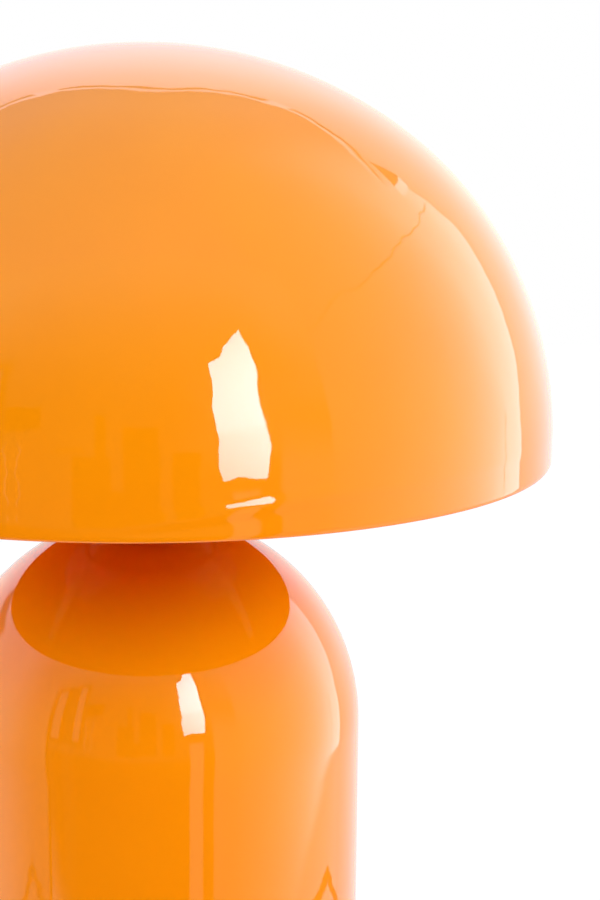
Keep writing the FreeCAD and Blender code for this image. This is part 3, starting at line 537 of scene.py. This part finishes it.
def build_weld(name, azimuth, side):
    """A rippled bead along one edge of a tab, on the dome's wall."""
    turn = Matrix.Rotation(math.radians(azimuth), 3, "Z")
    places = []
    for step in range(WELD_STEPS + 1):
        height = WELD_FOOT + WELD_LENGTH * step / WELD_STEPS
        reach = SHOULDER_CENTRE + math.sqrt((SHOULDER_ARC - WELD_INSET) ** 2 - height ** 2)
        taper = math.sqrt(max(1 - (step / (WELD_STEPS / 2) - 1) ** 6, 0.02))
        swell = (WELD_SWELL + WELD_RIPPLE * math.sin(step * WELD_BEAT)) * taper
        origin = turn @ Vector((reach, side * WELD_ASIDE, SPRING + height))
        places.append((origin, turn @ Vector((0, swell, 0)), turn @ Vector((-swell, 0, 0))))
    return new_piece(name, *sweep(places, arc(0, 0, 1, 0, 330, 11)))


fit(build_shade(), "shade", "orange_lacquer", "shade_dome")

fit(lathe("spider_hub", rounded([
    (42.4, 285.5, 0.5), (43.9, 285.5, 0.5), (43.9, 292, 1.4), (34, 292, 0.6), (34, SEAT_TOP, 0.6),
    (42.4, SEAT_TOP, 0.3),
]), PART_TURNS), "shade", "orange_lacquer", "shade_spider")

for azimuth in ARM_ANGLES:
    fit(build_arm(f"spider_arm_{azimuth}", azimuth), "shade", "orange_lacquer")
    for side in (-1, 1):
        bead = build_weld(f"spider_weld_{azimuth}_{side + 2}", azimuth, side)
        fit(bead, "shade", "orange_lacquer")


# Base


def wall_rows(radius, foot):
    """The straight wall from its bend up to the dome, with close rows at the inlet."""
    low, high = INLET_HEIGHT - 2 * INLET_HOLE, INLET_HEIGHT + 2 * INLET_HOLE
    rows = run((radius, foot), (radius, low), 4) + run((radius, low), (radius, high), 16)
    return rows + run((radius, high), (radius, DOME_CENTRE), 24)


def cut_inlet(mesh):
    """Take out the faces at the inlet, draw both edges on to a circle and close the sheet between them."""
    axis = Vector((0, INLET_HEIGHT * MM))
    reach = INLET_HOLE * MM

    def offset(point):
        return Vector((point.x, point.z)) - axis

    cutter = bmesh.new()
    cutter.from_mesh(mesh)
    taken = [face for face in cutter.faces
             if face.calc_center_median().y > 0 and offset(face.calc_center_median()).length < reach]
    bmesh.ops.delete(cutter, geom=taken, context="FACES")
    for vertex in cutter.verts:
        if vertex.is_boundary:
            spot = axis + offset(vertex.co).normalized() * reach
            depth = math.hypot(vertex.co.x, vertex.co.y)
            vertex.co = Vector((spot.x, math.sqrt(depth ** 2 - spot.x ** 2), spot.y))
    rims = [edge for edge in cutter.edges if edge.is_boundary]
    for edge in rims:
        edge.smooth = False
    bmesh.ops.bridge_loops(cutter, edges=rims)
    bmesh.ops.recalc_face_normals(cutter, faces=cutter.faces)
    cutter.to_mesh(mesh)
    cutter.free()


def build_base():
    """The bullet's sheet: lip, bend, straight wall and half-ball top, with the inlet's hole at the back."""
    straight = BASE_FOOT + BASE_BEND
    thin = BASE_RADIUS - BASE_WALL
    bend_foot = BASE_RADIUS - BASE_BEND
    top = [math.degrees(math.acos(NIPPLE_HOLE / radius)) for radius in (BASE_RADIUS, thin)]
    outline = run((BASE_LIP, BASE_FOOT), (bend_foot, BASE_FOOT), 3)
    outline += arc(bend_foot, straight, BASE_BEND, -90, 0, 8)[:-1]
    outline += wall_rows(BASE_RADIUS, straight)
    outline += arc(0, DOME_CENTRE, BASE_RADIUS, 0, top[0], 72)
    outline += list(reversed(wall_rows(thin, straight)[1:] + arc(0, DOME_CENTRE, thin, 0, top[1], 36)))
    outline += arc(bend_foot, straight, BASE_BEND - BASE_WALL, 0, -90, 6)
    outline += [(BASE_LIP, BASE_FOOT + BASE_WALL)]
    shell = lathe("base_shell_skin", outline, SHELL_TURNS)
    cut_inlet(shell.data)
    return shell


def grip(angle, radius, height):
    """Shallow flutes round the bushing's flange."""
    return -FLUTE_DEPTH * (0.5 + 0.5 * math.cos(FLUTES * angle)) if radius > FLUTED_FROM else 0


def build_bushing():
    """The cord inlet's bushing, turned upright and then laid into the base's back."""
    bushing = lathe("cord_inlet_bushing", rounded([
        (3.5, -10.2, 0.4), (5, -10.2, 0.6), (5, 0, 0), (7.5, 0, 0.3), (7.5, 2.5, 1.6), (3.5, 2.5, 1.1),
    ], 7), SMALL_TURNS, grip)
    bushing.data.transform(Matrix.Translation((0, (BASE_RADIUS + BUSHING_GAP) * MM, INLET_HEIGHT * MM))
                           @ Matrix.Rotation(math.radians(-90), 4, "X"))
    return bushing


fit(build_base(), "base", "orange_lacquer", "base_shell")

fit(lathe("felt_foot", rounded([
    (0, 0, 0), (89, 0, 0.4), (89, 1.5, 0.3), (0, 1.5, 0),
]), PART_TURNS), "base", "felt", "felt_pad")

fit(build_bushing(), "base", "inlet_plastic", "cord_bushing")


# Lampholder, seat and ring


def ribs(angle, radius, height):
    """Grip ribs round the ring's hub."""
    on_hub = radius > RIBBED_FROM and height > RIB_FOOT
    return -RIB_DEPTH * (0.5 - 0.5 * math.cos(RIBS * angle)) ** 2 if on_hub else 0


def sleeve_thread(angle, radius, height):
    """Moulded thread on the outside of the sleeve, above the cap."""
    if radius < SLEEVE_RADIUS - 0.2 or not SLEEVE_THREAD_FOOT < height < SLEEVE_THREAD_TOP:
        return 0
    phase = height / SLEEVE_THREAD - angle / (2 * math.pi)
    return -SLEEVE_THREAD_DEPTH + SLEEVE_THREAD_DEPTH * math.cos(2 * math.pi * phase)


def shell_wave(angle, radius, height):
    """Rolled thread of the brass shell, open enough for the bulb's thread to pass."""
    if not SHELL_THREAD_FOOT < height < SHELL_THREAD_TOP or radius < SHELL_THREADED_FROM:
        return 0
    phase = height / BULB_PITCH - angle / (2 * math.pi)
    return SHELL_THREAD_DEPTH + SHELL_THREAD_DEPTH * math.cos(2 * math.pi * phase)


fit(lathe("shade_seat_disc", rounded([
    (19.6, 289, 0.3), (42, 289, 0.6), (42, SEAT_TOP, 0.6), (19.6, SEAT_TOP, 0.3),
]), PART_TURNS), "base", "orange_lacquer", "shade_seat")

fit(lathe("shade_ring_ribbed", rounded([
    (19.5, SEAT_TOP, 0.3), (28.5, SEAT_TOP, 0.3), (28.5, 293, 0.9), (24, 293, 0.8), (24, 294, 0),
    (24, 298.6, 0), (23.4, 299.5, 0.4), (19.5, 299.5, 0.4),
]), RIB_TURNS, ribs), "base", "black_bakelite", "shade_ring")

fit(lathe("holder_cap_moulded", rounded([
    (5.1, 270.5, 0.3), (21.5, 270.5, 6), (21.5, 279.2, 0.2), (21.1, 279.6, 0.2), (21.1, 280.4, 0.2),
    (21.5, 280.8, 0.2), (21.5, 289, 0.5), (19.5, 289, 0.3), (19.5, 280.5, 0.1), (17.2, 280.5, 0.2),
    (17.2, 273.5, 3), (5.1, 273.5, 0.3),
], 8), PART_TURNS), "base", "black_bakelite", "holder_cap")

sleeve_outline = [(17.4, 282.5), (19.0, 282.5)]
sleeve_outline += run((SLEEVE_RADIUS, 282.9), (SLEEVE_RADIUS, 316.4), 134)
sleeve_outline += arc(18.8, 316.4, 0.6, 0, 90, 4) + arc(15.2, 316.4, 0.6, 90, 180, 4)
sleeve_outline += [(14.6, 315), (17.4, 315)]
sleeve = lathe("holder_sleeve_threaded", sleeve_outline, THREAD_TURNS, sleeve_thread, THREAD_SHARP)
fit(sleeve, "base", "black_bakelite", "holder_sleeve")

shell_outline = [(9.5, SEAT_TOP)] + arc(13.4, 291.1, 0.6, -90, 0, 3) + run((14, 291.4), (14, 313.3), 72)
shell_outline += [(13.9, 313.5), (13.6, 313.5)]
shell_outline += run((13.5, 313.3), (13.5, 291.3), 72) + [(13.2, 291), (9.5, 291)]
screw_shell = lathe("screw_shell_rolled", shell_outline, SMALL_TURNS, shell_wave, THREAD_SHARP)
fit(screw_shell, "base", "brass", "screw_shell")


# Bulb


def cap_thread(angle, radius, height):
    """Rolled right-hand thread of the bulb's cap, fading out at both ends."""
    if radius <= BULB_THREADED_FROM:
        return 0
    from_foot = max((height - BULB_THREAD_FOOT) / BULB_THREAD_FADE, 0)
    from_top = max((BULB_THREAD_TOP - height) / BULB_THREAD_FADE, 0)
    phase = height / BULB_PITCH - angle / (2 * math.pi)
    return BULB_THREAD_DEPTH * min(from_foot, from_top, 1) * (0.5 + 0.5 * math.cos(2 * math.pi * phase))


def bulb_side(inset):
    """The bulb's outline from its neck to its top, at an inset from the outer face."""
    meeting = math.degrees(math.acos((BULB_NECK + BULB_FLARE) / (BULB_RADIUS + BULB_FLARE)))
    bend = BULB_CENTRE - (BULB_RADIUS + BULB_FLARE) * math.sin(math.radians(meeting))
    neck = run((BULB_NECK - inset, BULB_THREAD_TOP + 0.95), (BULB_NECK - inset, bend), 6)
    throat = arc(BULB_NECK + BULB_FLARE, bend, BULB_FLARE + inset, 180, 180 - meeting, 20)
    ball = arc(0, BULB_CENTRE, BULB_RADIUS - inset, -meeting, 90, 56)
    return neck + throat[:-1] + ball[:-1] + [(0, BULB_CENTRE + BULB_RADIUS - inset)]


cap_outline = [(9.5, BULB_CAP_FOOT)] + arc(11.8, BULB_CAP_FOOT + 0.5, 0.5, -90, 0, 4)
cap_outline += run((12.3, BULB_THREAD_FOOT + 0.2), (12.3, BULB_THREAD_TOP), 64)
cap_outline += run((12.3, BULB_THREAD_TOP), (13.2, BULB_THREAD_TOP + 0.9), 4)
cap_outline += [(13.2, BULB_THREAD_TOP + 0.9), (13.2, BULB_CAP_TOP - 0.2), (13.0, BULB_CAP_TOP)]
cap_outline += [(12.8, BULB_CAP_TOP), (12.8, BULB_THREAD_TOP + 0.9)]
cap_outline += run((11.9, BULB_THREAD_TOP), (11.9, BULB_THREAD_FOOT + 0.4), 64)
cap_outline += [(9.5, BULB_THREAD_FOOT + 0.4)]
bulb_cap = lathe("bulb_cap_threaded", cap_outline, THREAD_TURNS, cap_thread, THREAD_SHARP)
fit(bulb_cap, "bulb", "bulb_metal", "bulb_cap")

glass_outline = bulb_side(0) + list(reversed(bulb_side(BULB_WALL)))
fit(lathe("bulb_glass_blown", glass_outline, BULB_TURNS), "bulb", "bulb_glass", "bulb_glass")

contact_dome = [(0, BULB_BOTTOM), (1.2, BULB_BOTTOM + 0.03)]
contact_dome += arc(2.4, BULB_BOTTOM + 1, 0.9, -90, -40, 3) + [(4.5, BULB_BOTTOM + 0.75)]
contact_dome += arc(4.5, BULB_BOTTOM + 1.05, 0.3, -60, 60, 4)
contact_dome += [(4.4, BULB_BOTTOM + 1.55), (0, BULB_BOTTOM + 1.55)]
fit(lathe("bulb_contact_soldered", contact_dome, TIP_TURNS), "bulb_tip", "bulb_metal", "bulb_contact")


# Studio: sky, floor, boards and lamp; levels are shares of plain white, directions are in degrees

DEGREE = 180 / math.pi
WHITE = (1.0, 1.0, 1.0)
SKY_ROSE = (1.0, 0.85, 1.0)
STRIP_ROSE = (1.0, 0.85, 0.98)
TABLE_TOP = (0.97, 0.56, 0.32)
PAPER = (0.95, 0.95, 0.95)
PAPER_GLOW = 1.1
PAPER_GLOW_SHARE = 0.82
FLOOR_HALF = 2500
ROOM_CORNERS = [(-1020, -750, -700), (740, -750, -700), (740, -750, 1500), (-1020, -750, 1500)]
STRIP_CENTRE = (275, -660)
STRIP_ALONG = (0.8948, 0.4465)
STRIP_OUTLINE = [(-84, 281), (-41, 292), (48, 283), (57, 385), (41, 535), (42, 615), (20, 793), (-45, 736),
                 (-62, 692), (-104, 672), (-96, 562), (-103, 519), (-90, 406), (-97, 361)]
# Dark things in the room and pale bars at its left, in metres on its board: left, right, low, high
ROOM_THINGS = [(-0.52, -0.36, 0.45, 0.54), (-0.3, -0.195, 0.373, 0.383), (-0.167, -0.138, 0.35, 0.5),
               (-0.236, -0.12, 0.16, 0.36), (-0.125, -0.08, 0.16, 0.25), (-0.082, 0.028, 0.17, 0.46),
               (0.065, 0.148, 0.165, 0.377)]
WINDOW_BARS = [(-0.99, -0.84), (-0.645, -0.57)]


class Field:
    """A number that varies by direction or place, with plain arithmetic on its nodes."""

    def __init__(self, tree, socket):
        self.tree = tree
        self.socket = socket

    def calc(self, operation, *others):
        """One step of arithmetic with other fields or numbers."""
        given = [other.socket if isinstance(other, Field) else other for other in others]
        return Field(self.tree, calc(self.tree, operation, self.socket, *given))

    def __add__(self, other):
        return self.calc("ADD", other)

    def __sub__(self, other):
        return self.calc("SUBTRACT", other)

    def __mul__(self, other):
        return self.calc("MULTIPLY", other)

    def ramp(self, low, high, least=0.0, most=1.0):
        """A smooth step between two limits, from least to most."""
        limits = [limit.socket if isinstance(limit, Field) else limit for limit in (low, high, least, most)]
        return Field(self.tree, ramp(self.tree, self.socket, *limits))

    def band(self, low, high, soft):
        """One between two limits and zero outside them, with soft ends."""
        return self.ramp(low - soft, low + soft) * self.ramp(high - soft, high + soft, 1.0, 0.0)

    def toward(self, level, share):
        """This number, drawn by a share towards a level."""
        return self + (self * -1.0 + level) * share


def parts_of(tree, place):
    """The x, y and z of a place or direction."""
    return [Field(tree, part) for part in add(tree, "ShaderNodeSeparateXYZ", {0: place}).outputs]


def sky_angles(tree):
    """Azimuth from the front, angle from the back and height of a direction, in degrees."""
    x, y, z = parts_of(tree, add(tree, "ShaderNodeTexCoord").outputs["Generated"])
    azimuth = x.calc("ARCTAN2", y * -1.0) * DEGREE
    back = x.calc("ARCTAN2", y) * DEGREE
    height = z.calc("ARCTAN2", (x * x + y * y).calc("SQRT")) * DEGREE
    return azimuth, back, height


def inside(edges, soft):
    """One where every edge's number is above zero."""
    share = edges[0].ramp(-soft, soft)
    for edge in edges[1:]:
        share = share * edge.ramp(-soft, soft)
    return share


def board_light(azimuth, height):
    """Board on the right: brighter towards its far end, with a seam across it and a thread hanging down."""
    glow = (((azimuth - 50.0) * (1 / 36.5)).calc("EXPONENT") * 0.75).calc("MINIMUM", 4.4)
    board = (glow - 1.0) * height.ramp(-2.0, 80.0, 1.0, 0.0) + 1.0
    arch = azimuth - 87.0
    wander = azimuth.ramp(66.0, 78.0, 0.9, -0.9)
    wander = wander + (azimuth * 0.83).calc("SINE") * 0.22 + (azimuth * 0.31).calc("SINE") * 0.3
    off_seam = height + arch * arch * 0.0048 - wander - 39.5
    seam = off_seam.band(-0.16, 0.16, 0.14) * azimuth.band(50.0, 131.0, 3.0)
    thread = azimuth.band(113.4, 113.9, 0.2) * height.ramp(-3.0, -1.0, 1.0, 0.0)
    board = board * (seam * -0.62 + 1.0) * (thread * -0.45 + 1.0)
    foot = (height - azimuth * 0.15 + 37.0).ramp(-0.7, 0.7, 1.0, 0.0)
    return board.toward(1.6, foot)


def past_board(azimuth, height):
    """One past the board's far end, which leans, and is soft where it is high."""
    end = (height * 0.36 + 124.5).calc("MINIMUM", 132.5).calc("MAXIMUM", 123.5)
    soft = height.ramp(34.0, 44.0, 0.7, 15.0)
    return azimuth.ramp(end - soft, end + soft)


def paper_light(azimuth, back, height):
    """Paper: brightest in the middle of the back, dimmer towards its left end and its foot."""
    middle = back.calc("ABSOLUTE").ramp(4.0, 35.0, 1.0, 0.0)
    paper = (height.ramp(0.0, 44.0, 1.1, 2.45) - 1.8) * middle + 1.8
    left = azimuth.ramp(-120.0, -100.0) * azimuth.ramp(0.0, 1.0, 1.0, 0.0)
    paper = paper.toward(azimuth.ramp(-92.0, -60.0, 1.75, 0.62), left)
    return paper * height.ramp(-14.0, 0.0, 0.8, 1.0)


def paper_edge(back):
    """Height of the paper's upper edge, which swells up in the middle of the back."""
    turn = (back - 1.5) * 0.05
    return (turn * turn * -1.0).calc("EXPONENT") * 11.3 + back.ramp(46.0, 54.0, 41.0, 38.7)


def with_edge(total, back, over):
    """Add the gap, the bright lip and the clips along the paper's edge."""
    at_back = back.calc("ABSOLUTE").ramp(50.0, 54.0, 1.0, 0.0)
    total = total.toward(0.3, over.band(0.0, 0.4, 0.25) * at_back)
    total = total.toward(2.5, over.band(1.0, 2.1, 0.3) * at_back)
    clips = back.band(22.0, 26.0, 0.5) + back.band(-20.5, -16.5, 0.5)
    return total.toward(2.6, clips * over.band(-0.5, 1.8, 0.5))


def with_corner(total, azimuth, height):
    """Add the dark corner where the paper meets the board, and the bright patch below it."""
    beyond = (azimuth - 135.2) * 0.456 + height - 33.8
    corner = inside([(height - 39.7) * 0.136 + 136.0 - azimuth, (azimuth - 136.0) * 0.368 + 39.7 - height,
                     beyond], 0.25)
    patch = inside([beyond * -1.0, (azimuth - 133.2) * 0.47 + height - 32.5,
                    (height - 33.8) * 1.54 + 135.2 - azimuth, (height - 36.9) * -1.6 - 128.4 + azimuth], 0.25)
    return total.toward(0.6, corner).toward(3.8, patch)


def with_dark_things(total, azimuth, height):
    """Add the dark feet on the floor of the room, left and right, and a dark bar at the left of the back."""
    right_foot = (height + 23.5) * -14.4 - (azimuth - 113.0).calc("ABSOLUTE")
    left_foot = (height + 23.1) * -6.0 - (azimuth + 68.0).calc("ABSOLUTE")
    on_floor = height.ramp(-26.5, -25.5)
    total = total.toward(0.15, right_foot.band(0.0, 6.0, 0.8) * on_floor)
    total = total.toward(0.15, left_foot.band(0.0, 3.0, 0.5) * on_floor)
    return total.toward(0.3, azimuth.band(-140.0, -117.0, 3.0) * height.band(18.0, 22.5, 1.2))


def studio_light(azimuth, back, height):
    """What the lacquer mirrors: board on the right, paper at the back and left, white ceiling."""
    over = height - paper_edge(back)
    ceiling = over.ramp(2.0, 12.0, 0.85, 1.0) * height.ramp(10.0, 45.0, 0.04, 1.0)
    ceiling = ceiling.toward(1.4, height.ramp(-58.0, -48.0, 1.0, 0.0))
    past = past_board(azimuth, height)
    on_board = azimuth.ramp(41.5, 44.0) * (past * -1.0 + 1.0)
    on_paper = azimuth.ramp(-58.5, -56.5, 1.0, 0.0).calc("MAXIMUM", past) * over.ramp(-0.6, 0.6, 1.0, 0.0)
    total = ceiling.toward(board_light(azimuth, height), on_board)
    total = total.toward(paper_light(azimuth, back, height), on_paper)
    total = with_corner(with_edge(total, back, over), azimuth, height)
    return with_dark_things(total, azimuth, height)


def soft_light(azimuth, back, height):
    """What lights the paint: soft light from both sides, low from behind and high from the front."""
    sides = azimuth.band(46.0, 104.0, 10.0) * 5.3 + azimuth.band(-120.0, -57.0, 8.0) * 3.4
    behind = back.calc("ABSOLUTE").ramp(54.0, 90.0, 2.7, 0.0) * height.band(2.0, 24.0, 5.0)
    front = azimuth.band(-57.0, 46.0, 8.0) * height.band(25.0, 50.0, 6.0) * 0.5
    return sides * height.band(12.5, 33.0, 5.5) + behind + front + 0.04


def make_sky():
    """Plain white to the camera and through glass, the studio to the lacquer, soft light to the paint."""
    world = bpy.data.worlds.new("studio")
    bpy.context.scene.world = world
    world.use_nodes = True
    tree = world.node_tree
    tree.nodes.clear()
    path = add(tree, "ShaderNodeLightPath")
    plain_white = calc(tree, "MAXIMUM", path.outputs["Is Camera Ray"], path.outputs["Is Transmission Ray"])
    azimuth, back, height = sky_angles(tree)
    lit = Field(tree, path.outputs["Is Diffuse Ray"])
    studio = studio_light(azimuth, back, height).toward(soft_light(azimuth, back, height), lit)
    strength = add(tree, "ShaderNodeMix", {0: plain_white, 2: studio.socket, 3: 1.0}, data_type="FLOAT")
    far_board = azimuth.ramp(60.0, 112.0) * azimuth.ramp(145.0, 165.0, 1.0, 0.0)
    rose_share = height.ramp(2.0, 22.0).calc("MAXIMUM", far_board)
    rose = blend(tree, rose_share.socket, WHITE, SKY_ROSE)
    cast = blend(tree, path.outputs["Is Glossy Ray"], WHITE, rose)
    sky = add(tree, "ShaderNodeBackground", {"Color": cast, "Strength": strength.outputs[0]})
    add(tree, "ShaderNodeOutputWorld", {"Surface": sky.outputs[0]})


def stage_material(name):
    """An empty material for a piece of the studio."""
    material = bpy.data.materials.new(name)
    material.use_nodes = True
    material.node_tree.nodes.clear()
    return material, material.node_tree


def lay_floor():
    """White paper to the camera, with the object's shadow on it, and a warm table top to the light."""
    signs = ((-1, -1), (1, -1), (1, 1), (-1, 1))
    corners = [(FLOOR_HALF * across, FLOOR_HALF * along, 0) for across, along in signs]
    floor = new_piece("studio_floor", corners, [(0, 1, 2, 3)])
    floor.visible_glossy = False
    material, tree = stage_material("studio_floor")
    seen = add(tree, "ShaderNodeLightPath").outputs["Is Camera Ray"]
    paper = add(tree, "ShaderNodeBsdfDiffuse", {"Color": blend(tree, seen, TABLE_TOP, PAPER)})
    glow = add(tree, "ShaderNodeEmission", {"Color": (*WHITE, 1.0), "Strength": PAPER_GLOW})
    share = calc(tree, "MULTIPLY", seen, PAPER_GLOW_SHARE)
    shown = add(tree, "ShaderNodeMixShader", {0: share, 1: paper.outputs[0], 2: glow.outputs[0]})
    add(tree, "ShaderNodeOutputMaterial", {"Surface": shown.outputs[0]})
    floor.data.materials.append(material)


def hang_board(name, corners, colour, strength_at):
    """A flat board in front of the lamp that only its lacquer mirrors."""
    board = new_piece(name, corners, [tuple(range(len(corners)))])
    board.visible_camera = False
    board.visible_diffuse = False
    board.visible_transmission = False
    board.visible_shadow = False
    material, tree = stage_material(name)
    x, _, z = parts_of(tree, add(tree, "ShaderNodeTexCoord").outputs["Object"])
    light = add(tree, "ShaderNodeEmission", {"Color": (*colour, 1.0), "Strength": strength_at(x, z).socket})
    add(tree, "ShaderNodeOutputMaterial", {"Surface": light.outputs[0]})
    board.data.materials.append(material)


def dim_room(x, z):
    """The room in front: dark below, paler upwards and to the right, with things in it and the near table."""
    total = z.ramp(0.1, 0.16, 0.03, 0.12) + z.ramp(0.45, 1.42, 0.0, 0.84)
    total = total + x.ramp(0.05, 0.25) * z.band(0.36, 0.66, 0.08) * 0.2
    total = total + x.ramp(0.3, 0.7) * z.ramp(0.52, 0.72) * z.ramp(0.9, 1.48, 0.25, 0.0)
    for left, right, low, high in ROOM_THINGS:
        total = total.toward(0.02, x.band(left, right, 0.006) * z.band(low, high, 0.008))
    # Left: a dark wall with pale bars and faint streaks, and two crooked bright lines beside it
    total = total.toward(0.03, x.ramp(-0.56, -0.5, 1.0, 0.0) * z.band(0.2, 0.75, 0.04))
    for left, right in WINDOW_BARS:
        total = total.toward(0.55, x.band(left, right, 0.012) * z.band(0.24, 0.72, 0.02))
    streaks = ((x * 61.0).calc("SINE") * (x * 37.0 + 0.4).calc("COSINE")).ramp(-0.1, 0.4)
    total = total + streaks * x.ramp(-0.55, -0.5, 0.05, 0.0)
    wobble = (z * 47.0).calc("SINE") * 0.009 + (z * 113.0).calc("SINE") * 0.004
    lines = (x + wobble + 0.44).band(-0.003, 0.003, 0.002) + (x - wobble + 0.5).band(-0.004, 0.004, 0.002)
    total = total.toward(0.6, lines * z.band(0.17, 0.4, 0.02))
    # Right: a pale wall with a dark post and a bright panel before it
    total = total.toward(z.ramp(0.3, 0.46, 0.62, 0.4), x.ramp(0.43, 0.46) * z.ramp(0.44, 0.5, 1.0, 0.0))
    total = total.toward(0.06, x.band(0.36, 0.45, 0.008) * z.ramp(0.16, 0.19, 1.0, 0.0))
    total = total.toward(0.75, x.band(0.25, 0.355, 0.008) * z.ramp(0.22, 0.25, 1.0, 0.0))
    return total.toward(1.4, z.ramp(-0.5, -0.28, 1.0, 0.0))


def strip_light(x, z):
    """A lamp behind cloth: brightest in the middle, brighter to its right, with a fold across it."""
    reach = (z - 0.53) * 4.2
    middle = (reach * reach * -0.25).calc("EXPONENT") * 20.5
    return middle + (x - 0.28) * 28.0 + z.ramp(0.41, 0.45, -2.0, 0.0)


def lamp(name, place, target, width, height, radiance):
    """A rectangular soft light that neither the camera nor the lacquer sees."""
    data = bpy.data.lights.new(name, "AREA")
    data.shape = "RECTANGLE"
    data.size = width
    data.size_y = height
    data.energy = radiance * math.pi * width * height
    light = bpy.data.objects.new(name, data)
    bpy.context.scene.collection.objects.link(light)
    light.location = place
    light.rotation_euler = (Vector(target) - Vector(place)).to_track_quat("-Z", "Y").to_euler()
    light.visible_camera = False
    light.visible_glossy = False


make_sky()
lay_floor()
hang_board("studio_room", ROOM_CORNERS, WHITE, dim_room)
strip_corners = [(STRIP_CENTRE[0] + STRIP_ALONG[0] * across, STRIP_CENTRE[1] + STRIP_ALONG[1] * across, rise)
                 for across, rise in STRIP_OUTLINE]
hang_board("studio_strip", strip_corners, STRIP_ROSE, strip_light)
lamp("soft_key", (0.28, -1.38, 1.24), (0.0, 0.0, 0.25), 1.2, 1.0, 3.9)


# Camera: place in metres, angles in radians

CAMERA_PLACE = (0, -0.83785, 0.46223)
CAMERA_LENS = 75.263
CAMERA_SENSOR = 36
YAW, PITCH, ROLL = 0.08087, 0.19194, 0.0092

camera_data = bpy.data.cameras.new("camera")
camera_data.sensor_width = CAMERA_SENSOR
camera_data.lens = CAMERA_LENS
camera = bpy.data.objects.new("camera", camera_data)
bpy.context.scene.collection.objects.link(camera)
ahead = Vector((math.sin(YAW) * math.cos(PITCH), math.cos(YAW) * math.cos(PITCH), -math.sin(PITCH)))
aside = ahead.cross(Vector((0, 0, 1))).normalized()
upward = aside.cross(ahead)
level_side = math.cos(ROLL) * aside + math.sin(ROLL) * upward
level_up = math.cos(ROLL) * upward - math.sin(ROLL) * aside
camera.matrix_world = (Matrix.Translation(CAMERA_PLACE)
                       @ Matrix((level_side, level_up, -ahead)).transposed().to_4x4())
bpy.context.scene.camera = camera
bpy.context.scene.view_settings.view_transform = "Standard"
